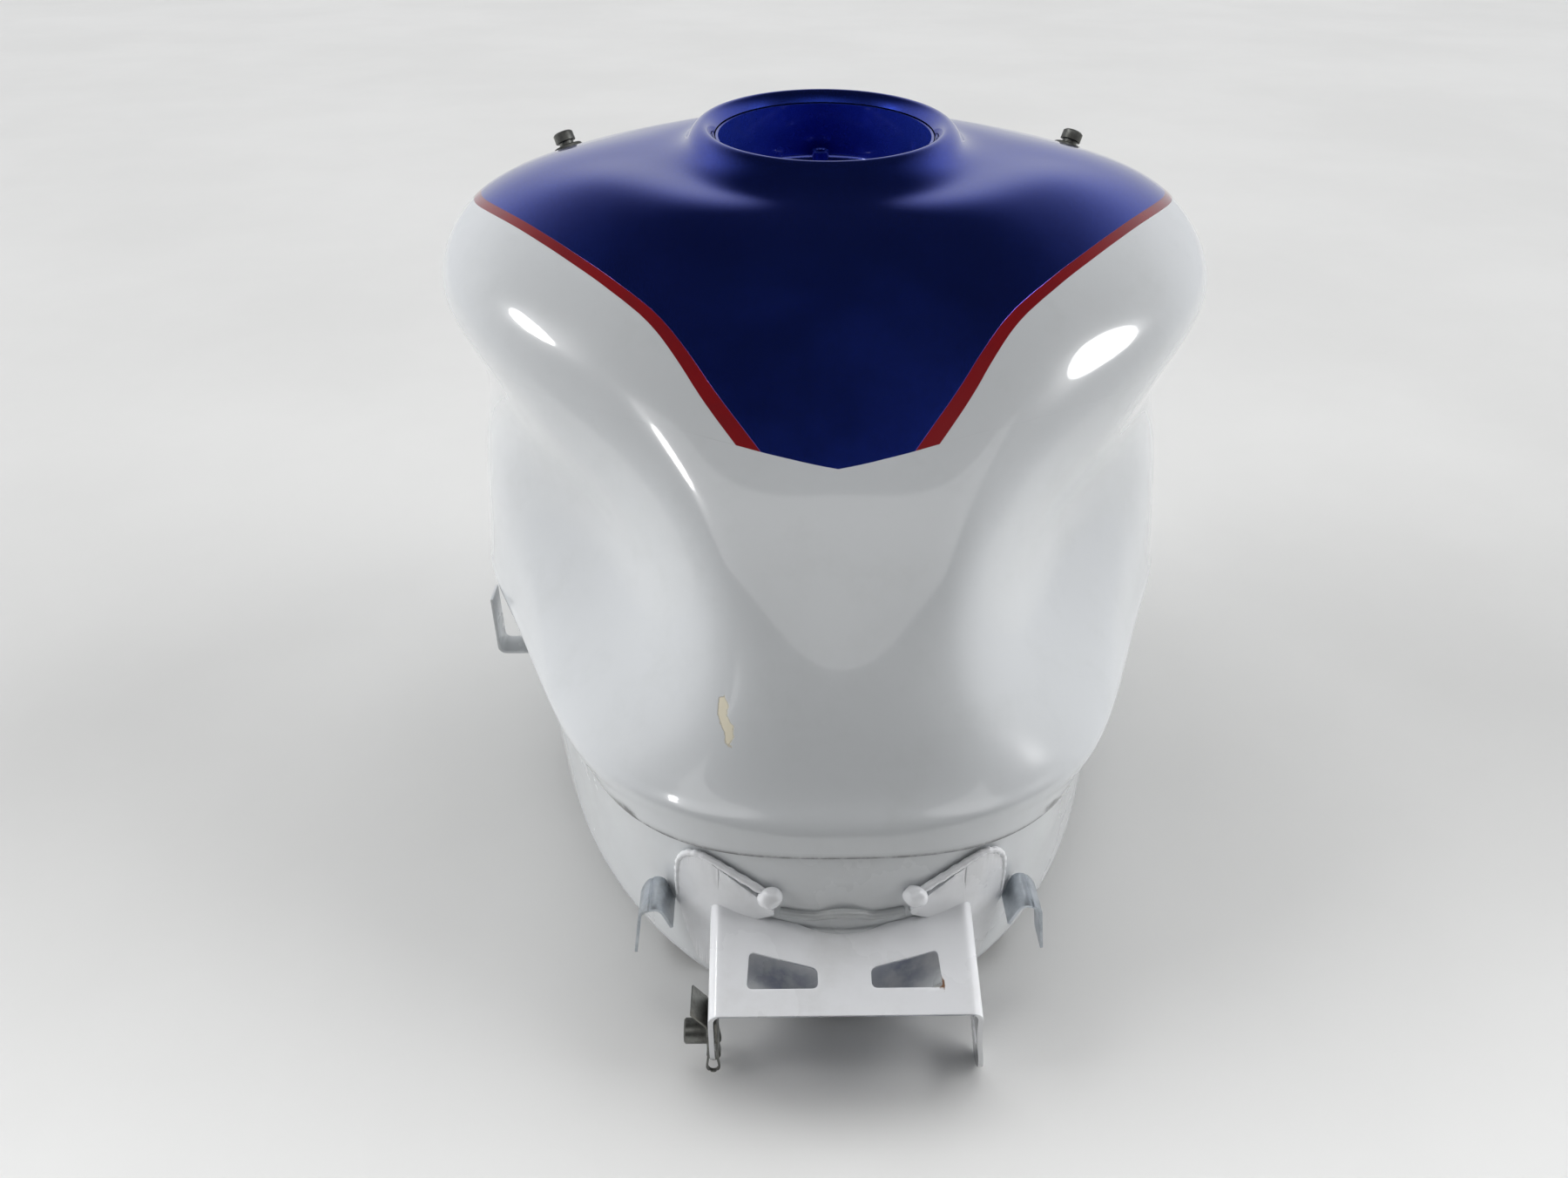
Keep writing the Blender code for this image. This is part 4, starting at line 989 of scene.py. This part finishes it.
def make_filler():
    outer = cup_outer()
    floor = -CUP_DEPTH
    outer_turn = []
    inner_turn = []
    for angle in range(0, 91, 10):
        side = cos(radians(angle))
        down = sin(radians(angle))
        small = CUP_CORNER - SHEET
        outer_turn.append((outer - CUP_CORNER + CUP_CORNER * side, floor - SHEET + CUP_CORNER * (1 - down)))
        inner_turn.append((outer - CUP_CORNER + small * side, floor + small * (1 - down)))
    hole = NECK_RADIUS + GAP
    profile = [(outer, -5.5)] + outer_turn + [(hole, floor - SHEET), (hole, floor)]
    profile += inner_turn[::-1] + [(outer - SHEET, -5.5)]
    cup = filler_place(turned("filler_recess", profile, BLUE_PAINT, 160))
    drills = []
    for side in (-1, 1):
        hole = drill(f"cup_hole_{side}", TUBE_RADIUS + GAP, 8, 32)
        drills.append(filler_place(hole, *tube_top(side), floor))
    cut_away(cup, *drills)
    apply_modifiers(cup, *drills)
    set_down(cup)
    smooth_by_angle(cup, 40)
    dress(cup, "filler_cup")
    top = floor + 2.0
    bore = NECK_RADIUS - SHEET
    neck = [(NECK_RADIUS, top - 0.8), (NECK_RADIUS, top - NECK_LENGTH), (bore, top - NECK_LENGTH),
            (bore, top - 0.8), (NECK_RADIUS - SHEET / 2, top)]
    neck = finish_turned(filler_place(turned("neck_tube", neck, BLUE_PAINT, 128)))
    dress(neck, "filler_neck")
    make_cap_bosses()


def make_cap_bosses():
    for number, angle in enumerate((0, 120, 240), 1):
        base = -CUP_DEPTH + GAP
        top = base + CAP_BOSS_HEIGHT
        profile = [(0, base + 1.5), (CAP_SCREW_RADIUS, base + 1.5), (CAP_SCREW_RADIUS, top - 0.6),
                   (CAP_SCREW_RADIUS + 0.5, top), (CAP_BOSS_RADIUS - 0.5, top), (CAP_BOSS_RADIUS, top - 0.5),
                   (CAP_BOSS_RADIUS, base), (0, base)]
        boss = turned(f"boss_{number}", profile, BLUE_PAINT, 48)
        x = CAP_SCREW_CIRCLE * sin(radians(angle))
        y = CAP_SCREW_CIRCLE * cos(radians(angle))
        boss = finish_turned(filler_place(boss, x, y, 0))
        dress(boss, f"cap_boss_{number}")


def dress(obj, node):
    """Hides the CAD node that this piece stands in for, and hangs the piece on the tank's body."""
    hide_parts(node)
    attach(obj, "tank")
    return obj


# ---- rear bracket and fittings


def make_envelope():
    """The pan's outside grown by the gap, which trims pieces that end against it."""
    wall = np.array(pan_wall_rows(columns_round(PAN_COLUMN_STEPS), 12)[1:])
    grown = wall + outward_normals(wall) * GAP
    above, below = grown[:1] + (0, 0, 40), grown[-1:] - (0, 0, 40)
    return closed_rows("pan_envelope", np.concatenate([above, grown, below]))


def plate_front(x):
    """Length of the plate up its slope, at this place across. The middle of its front edge is an arc."""
    reach = BRACKET_HALF * 0.62
    if abs(x) >= reach:
        return PLATE_LENGTH
    rise = smooth_step(abs(x), reach * 0.86, reach) * 12.0
    return PLATE_LENGTH - 15 - 15.0 * (1 - (x / reach) ** 2) + rise


def leg_bottom(forward, bottom):
    """Height of the leg's lower edge at this distance in front of the rear edge."""
    toe = [(0, 13), (1, 7), (3, 3.2), (6, 0.9), (9, 0), (12, 0.3), (15, 2), (18, 6), (21, 11)]
    shin = [(LEG_WIDTH, PLATE_REAR_Z * 0.42), (60, PLATE_REAR_Z * 0.62)]
    return float(read_off([(y, bottom + z) for y, z in toe] + shin, forward))


def channel_points():
    """The bracket's middle surface, station by station: up the left leg, over the plate, down the right."""
    half = BRACKET_HALF - BRACKET_SHEET / 2
    bend = 4.0
    stations = [0, 0.4, 1, 2, 3, 4.5, 6, 8, 10, 12, 14, 16, 18, 20, 23, 26, 30, 35, 40, 46, 52, 58.2]
    across = np.linspace(-half + bend, half - bend, 41)
    rows = []
    for forward in stations:
        share = forward / stations[-1]
        row = []
        for side, bottom in ((-1, 7.0), (1, 0.0)):
            plate_z = PLATE_REAR_Z - 1 + forward * tan(PLATE_SLOPE)
            low = leg_bottom(forward, bottom)
            leg = [(side * half, forward, low + (plate_z - bend - low) * step / 8) for step in range(9)]
            turn = []
            for angle in range(15, 90, 15):
                x = half - bend + bend * cos(radians(angle))
                turn.append((side * x, forward, plate_z - bend + bend * sin(radians(angle))))
            leg = leg + turn
            row.append(leg)
        top = []
        for x in across:
            reach = min(1.0, plate_front(x) * cos(PLATE_SLOPE) / stations[-1])
            y = share * reach * stations[-1]
            top.append((x, y, PLATE_REAR_Z - 1 + y * tan(PLATE_SLOPE)))
        rows.append(row[0] + top + row[1][::-1])
    points = np.array(rows, float)
    points[:, :, 1] += BRACKET_REAR
    return points


def window_outline(side):
    corners = [(WINDOW_INNER, 10), (WINDOW_OUTER, 10), (WINDOW_OUTER - 1, 25), (WINDOW_INNER, 18)]
    return rounded_outline([(side * x, y) for x, y in corners], 2.5)


def ear_patch(side, name, envelope):
    """The bracket's welded flange, wrapped on the pan's wall: a web beside the plate and an ear beyond it."""
    outline = rounded_outline([(side * x, z) for x, z in EAR_OUTLINE], 3.0, 5)
    mesh = bpy.data.meshes.new(name)
    shaper = bmesh.new()
    shaper.faces.new([shaper.verts.new((x * MM, -0.3, z * MM)) for x, z in outline])
    bmesh.ops.triangulate(shaper, faces=shaper.faces)
    bmesh.ops.subdivide_edges(shaper, edges=shaper.edges, cuts=4, use_grid_fill=True)
    shaper.to_mesh(mesh)
    shaper.free()
    patch = add_object(name, mesh)
    wrap = patch.modifiers.new("wrap", "SHRINKWRAP")
    wrap.target = envelope
    wrap.wrap_method = "PROJECT"
    wrap.use_project_y = True
    wrap.use_negative_direction = False
    wrap.use_positive_direction = True
    wrap.offset = 1.25 * MM
    apply_modifiers(patch)
    face_outward(patch.data)
    add_solidify(patch, BRACKET_SHEET)
    apply_modifiers(patch)
    patch.data.materials.append(BRACKET_PAINT)
    finish_sheet(patch, 0.5)
    return patch


def weld_blob(name, spot, lean):
    """A lump of weld metal, uneven as a hand-laid one is."""
    shaper = bmesh.new()
    bmesh.ops.create_icosphere(shaper, subdivisions=4, radius=1.0)
    for vertex in shaper.verts:
        p = vertex.co
        swell = 1 + 0.04 * sin(5 * p.x + 2 * p.z) * cos(4 * p.y) + 0.02 * sin(8 * p.z + 3 * p.x)
        vertex.co = Vector((p.x * 5.2, p.y * 4.2, p.z * 4.4)) * swell * MM
    mesh = bpy.data.meshes.new(name)
    shaper.to_mesh(mesh)
    shaper.free()
    blob = add_object(name, mesh, BRACKET_PAINT)
    smooth(blob)
    place(blob, *spot, turn_y=lean)
    return set_down(blob)


def make_weld_bead(side, name, envelope):
    """The rounded edge of the ear, standing off the pan from the weld lump to the ear's outer corner."""
    marks = np.linspace(0, len(BEAD_LINE) - 1, 60)
    soft = np.array([np.interp(marks, range(len(BEAD_LINE)), line) for line in zip(*BEAD_LINE)]).T
    for _ in range(6):
        soft[1:-1] = (soft[:-2] + 2 * soft[1:-1] + soft[2:]) / 4
    path = []
    for index, (x, z) in enumerate(soft):
        hit, spot = envelope.ray_cast(Vector((side * x, -300, z)) * MM, Vector((0, 1, 0)))[:2]
        wave = 0.25 * sin(index * 1.3) + 0.15 * sin(index * 2.9)
        path.append((side * x, spot.y / MM - 1.7, z + wave * 0.5) if hit else path[-1])

    def swell(index):
        return 1.0 - 0.35 * index / len(path) + 0.08 * sin(index * 1.7)

    return rod(name, path, 1.75, 4, BRACKET_PAINT, swell)


def flare_legs(bracket):
    """The right leg spreads a little outward towards its foot."""
    for vertex in bracket.data.vertices:
        z = vertex.co.z / MM
        if vertex.co.x > 0.045 and z < 34:
            vertex.co.x += 3.0 * MM * smooth_step(34 - z, 0, 34)


def mark_bracket(bracket):
    """Bare metal on the right leg's inner face, a dark blue-grey tint on the faces that look down, and a spot
    of rust.
    """
    points = points_of(bracket)
    normals = np.array([vertex.normal for vertex in bracket.data.vertices])
    inner = smooth_step(-normals[:, 0], 0.3, 0.6) * (points[:, 0] > 46) * smooth_step(40 - points[:, 2], 0, 5)
    store(bracket.data, "bare", inner)
    # Faces that look down are tinted dark blue-grey.
    below = smooth_step(-normals[:, 2], 0.1, 0.5) * (np.abs(points[:, 0]) < 50)
    store(bracket.data, "blue_grey_tint", 0.85 * below)
    rust = np.clip(1.0 - np.hypot(points[:, 0] - 38.0, points[:, 2] - 45.5) / 3.0, 0, 1)
    store(bracket.data, "rust", rust)


def make_rear_bracket(envelope):
    points = channel_points()
    faces = grid_faces(points.shape[0], points.shape[1], closed=False)
    bracket = add_mesh("bracket_channel", points.reshape(-1, 3), faces, BRACKET_PAINT)
    face_outward(bracket.data)
    add_solidify(bracket, BRACKET_SHEET)
    base = plane((0, BRACKET_REAR, PLATE_REAR_Z), (1, 0, 0), (0, cos(PLATE_SLOPE), sin(PLATE_SLOPE)))
    cutters = []
    for side, hole_radius in ((-1, CLIP_HOLE), (1, LEG_HOLE)):
        cutters.append(prism(f"window_{side}", window_outline(side), 12.0, base))
        hole = drill(f"leg_hole_{side}", hole_radius, 6, 48)
        cutters.append(place(hole, side * (BRACKET_HALF - 1), LEG_HOLE_Y, LEG_HOLE_Z, turn_y=pi / 2))
    cut_away(bracket, *cutters, envelope)
    apply_modifiers(bracket, *cutters)
    add_bevel(bracket, 0.35, 2, 45)
    apply_modifiers(bracket)
    flare_legs(bracket)
    mark_bracket(bracket)
    smooth_by_angle(bracket, 32)
    dress(bracket, "rear_bracket")
    for side, name in SIDES:
        ear = ear_patch(side, f"bracket_ear_{name}", envelope)
        blob = weld_blob(f"bracket_weld_{name}", (side * 29, -210.4, 67.3), side * 0.35)
        bead = make_weld_bead(side, f"bracket_bead_{name}", envelope)
        for piece in (ear, blob, bead):
            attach(piece, "tank")


def make_hem_lip():
    """The rolled hem of the pan's edge between the bracket's welds, with its raised wave."""
    path = []
    for i in range(61):
        x = HEM_HALF * (2 * i / 60 - 1)
        wave = 3.0 * bump(x, 0.5, 12.0) + 0.4 * smooth_step(abs(x), 15, 26)
        path.append((x, -212.6 + 0.0036 * x * x - 1.0 * bump(x, 0.5, 10.0), 58.6 + wave))
    dress(rod("rolled_hem", path, 1.95, 5, HEM_PAINT), "hem_lip")


def make_hooks(envelope):
    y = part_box("hook_left")[0].y / MM
    for side, name in SIDES:
        path = rounded_path([(side * x, y, z) for x, z in HOOK_LINE], 5.0)
        hook = strip(f"strap_hook_{name}", path, (0, 18, 0), 1.2, PALE_ZINC, 4)
        taper = len(path) - 1
        for index, vertex in enumerate(hook.data.vertices):
            row, column = divmod(index, 5)
            share = max(0.0, (row - taper * 0.55) / (taper * 0.45))
            vertex.co.y += (2 - column) * 0.0014 * share
        cut_away(hook, envelope)
        apply_modifiers(hook)
        finish_sheet(hook, 0.3)
        dress(hook, f"hook_{name}")


def make_clip_nut():
    outside = -(BRACKET_HALF + GAP + CLIP_SHEET / 2)
    inside = -(BRACKET_HALF - BRACKET_SHEET - GAP - CLIP_SHEET / 2)
    middle = (outside + inside) / 2
    start = LEG_HOLE_Y - CLIP_WIDTH / 2
    bends = [(outside - 6, 38), (outside, 30), (outside, 12), (outside - 1, 4), (middle, 1.5),
             (inside + 1, 4), (inside, 12), (inside, 32)]
    path = rounded_path([(x, start, z) for x, z in bends], 2.0, 6)
    clip = strip("clip_leaf", path, (0, CLIP_WIDTH, 0), CLIP_SHEET, DARK_ZINC, 2)
    cutters = [place(drill("clip_hole", 3.2, 12, 40), middle, LEG_HOLE_Y, LEG_HOLE_Z, turn_y=pi / 2)]
    slot = rounded_outline([(-2.1, -6.0), (2.1, -6.0), (2.1, 7.0), (-2.1, 7.0)], 1.2)
    for offset in (-3.6, 3.6):
        spot = plane((middle, LEG_HOLE_Y + offset, 4.0), (0, 1, 0), (0, 0, 1))
        cutters.append(prism(f"clip_slot_{offset}", slot, 16.0, spot))
    cut_away(clip, *cutters)
    for cut in clip.modifiers:
        if cut.type == "BOOLEAN":
            cut.use_self = True
    apply_modifiers(clip, *cutters)
    finish_sheet(clip, 0.15)
    dress(clip, "clip_nut_spring")
    profile = [(5.0, 0), (5.0, 8.4), (4.4, 9.0), (3.4, 9.0), (2.9, 8.5), (2.9, 0)]
    nut = turned("clip_barrel", profile[::-1], DARK_ZINC, 48)
    place(nut, outside - CLIP_SHEET / 2 - GAP, LEG_HOLE_Y, LEG_HOLE_Z, turn_y=-pi / 2)
    dress(finish_turned(nut), "clip_nut_barrel")


def make_side_tab(envelope):
    rear = TAB_Y - TAB_WIDTH / 2
    path = rounded_path([(-140, rear, 63), (-170, rear, 63), (-170, rear, 96)], 4.0)
    tab = strip("flank_tab", path, (0, TAB_WIDTH, 0), 1.5, WHITE_PAINT, 2)
    cut_away(tab, envelope)
    apply_modifiers(tab)
    finish_sheet(tab, 0.4, 3)
    dress(tab, "side_tab")


def make_studs():
    for name, column in (("right", 6.45), ("left", COLUMN_COUNT - 6.45)):
        patch = spline_points(SHELL_NET, [4.3, 4.5, 4.7], [column - 0.2, column, column + 0.2])
        spot = Vector(patch[1, 1])
        normal = Vector(np.cross(patch[2, 1] - patch[0, 1], patch[1, 2] - patch[1, 0])).normalized()
        profile = [(0, 8.7), (2.6, 8.7), (3.1, 9.5), (4.6, 9.5), (5.5, 8.7), (5.5, 4.5), (4, 4.3), (4, 2.2),
                   (7.6, 2.0), (8, 1.6), (8, GAP), (0, GAP)]
        stud = turned(f"stud_{name}", profile, DARK_ZINC, 64)
        stud.location = (spot + normal * 0.2) * MM
        stud.rotation_mode = "QUATERNION"
        stud.rotation_quaternion = normal.to_track_quat("Z", "Y")
        dress(finish_turned(stud), f"cover_stud_{name}")


# ---- CAD nodes that keep their shape


def paint_cad_nodes():
    steel = ["overflow_tube", "breather_tube", "slosh_baffle", "pump_ring", "float_arm"]
    steel += ["sleeve_left", "sleeve_right"] + [f"pump_bolt_{number}" for number in range(1, 6)]
    nodes_by_material = (
        (ZINC, steel),
        (RUBBER, ["pump_gasket", "grommet_left", "grommet_right"]),
        (BLACK_PLASTIC, ["pump_flange", "pump_reservoir", "fuel_outlet", "pump_connector", "level_sender"]),
        (GREY_PLASTIC, ["strainer", "float"]),
        (ALUMINIUM, ["fuel_pump"]),
        (WHITE_PAINT, ["front_bracket"]),
    )
    for material, names in nodes_by_material:
        for name in names:
            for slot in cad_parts[name].material_slots:
                slot.material = material


# ---- stage, light and camera


def make_floor():
    """A pale floor, with painted light: lighter towards the camera's side, where the tank's shadow falls,
    than beyond it.
    """
    nodes = new_material("pale_floor")
    cloud = nodes.ramp(nodes.noise(2.2, 5.0, 0.6), 0.3, 0.7)
    split = nodes.add("ShaderNodeSeparateXYZ")
    nodes.link(nodes.position(), split.inputs[0])
    # Painted light: the near colour is lighter to lift the tank's shadow in front; the far colour is the
    # floor's own.
    wear_and_far_floor = nodes.mix(cloud, (0.61, 0.61, 0.60), (0.65, 0.65, 0.64))
    painted_light_front_floor = nodes.mix(cloud, (0.77, 0.77, 0.76), (0.81, 0.81, 0.80))
    nodes.set(Base_Color=nodes.mix(nodes.ramp(split.outputs["Y"], -0.42, 0.0), painted_light_front_floor, wear_and_far_floor), Roughness=0.5)
    corners = [(x * FLOOR_REACH, y * FLOOR_REACH, 0) for x, y in ((-1, -1), (1, -1), (1, 1), (-1, 1))]
    floor = bpy.data.objects.new("floor", mesh_from("floor", corners, [(0, 1, 2, 3)]))
    floor.data.materials.append(nodes.material)
    bpy.context.scene.collection.objects.link(floor)


def add_lamp(name, kind, power):
    data = bpy.data.lights.new(name, kind)
    data.energy = power
    lamp = bpy.data.objects.new(name, data)
    bpy.context.scene.collection.objects.link(lamp)
    return lamp


def add_softbox(name, place_at, aim, size, power, shape="ELLIPSE"):
    """A lamp that gives the gloss its bright patches and adds nothing to the even light."""
    lamp = add_lamp(name, "AREA", power)
    lamp.data.shape = shape
    lamp.data.size, lamp.data.size_y = size
    lamp.location = place_at
    lamp.rotation_euler = (Vector(aim) - Vector(place_at)).to_track_quat("-Z", "Y").to_euler()
    lamp.visible_diffuse = False


def add_sky_light(name, direction, strength, spread):
    """A very soft sun, as wide as a bright wall or ceiling, that leaves no bright patch in the gloss."""
    lamp = add_lamp(name, "SUN", strength)
    lamp.data.angle = radians(spread)
    lamp.rotation_euler = Vector(direction).to_track_quat("Z", "Y").to_euler()
    lamp.visible_glossy = False


def make_world():
    """Bright walls low down behind and beside the tank, dim overhead and in front of it."""
    bpy.context.scene.world = bpy.data.worlds.new("studio")
    nodes = Nodes(bpy.context.scene.world, "Background")
    split = nodes.add("ShaderNodeSeparateXYZ")
    nodes.link(nodes.add("ShaderNodeTexCoord").outputs["Generated"], split.inputs[0])
    wall_height = nodes.ramp(split.outputs["Z"], 0.46, 0.86, 0.66, 0.025)
    wall_side = nodes.ramp(split.outputs["Y"], -0.7, 0.0, 0.04, 1.0)
    nodes.set(Strength=nodes.times(wall_height, wall_side), Color=(0.93, 0.95, 1.0))


def make_light():
    make_world()
    add_sky_light("ceiling_light", (0.0, 0.60, 0.80), 1.9, 60)
    add_sky_light("left_wall_light", (-0.93, 0.18, 0.32), 2.5, 54)
    add_sky_light("right_wall_light", (0.93, 0.18, 0.32), 2.4, 54)
    add_softbox("softbox_left", (-1.64, -0.17, 1.56), (-0.13, -0.04, 0.24), (0.5, 0.2), 5.5)
    add_softbox("softbox_right", (1.73, -0.35, 1.39), (0.12, -0.05, 0.24), (0.42, 0.5), 6.5)
    add_softbox("softbox_small", (-1.3, -0.93, 1.55), (-0.07, -0.1, 0.21), (0.13, 0.16), 1.3)
    add_softbox("ceiling_panel", (0.0, -1.25, 1.68), (0, -0.13, 0.18), (3.4, 0.85), 10, "RECTANGLE")
    view = bpy.context.scene.view_settings
    view.view_transform = "Standard"
    view.look = "None"
    view.exposure = 0.0


def make_camera():
    data = bpy.data.cameras.new("camera")
    data.sensor_width = 36.0
    data.lens = 26.68
    data.clip_start = 0.01
    camera = bpy.data.objects.new("camera", data)
    camera.location = (-0.0277, -0.5317, 0.4226)
    camera.rotation_euler = (radians(57), 0, radians(-0.75))
    bpy.context.scene.collection.objects.link(camera)
    bpy.context.scene.camera = camera


make_shell()
make_pan()
make_filler()
ENVELOPE = make_envelope()
make_rear_bracket(ENVELOPE)
make_hem_lip()
make_hooks(ENVELOPE)
make_clip_nut()
make_side_tab(ENVELOPE)
make_studs()
bpy.data.objects.remove(ENVELOPE)
paint_cad_nodes()
make_floor()
make_light()
make_camera()
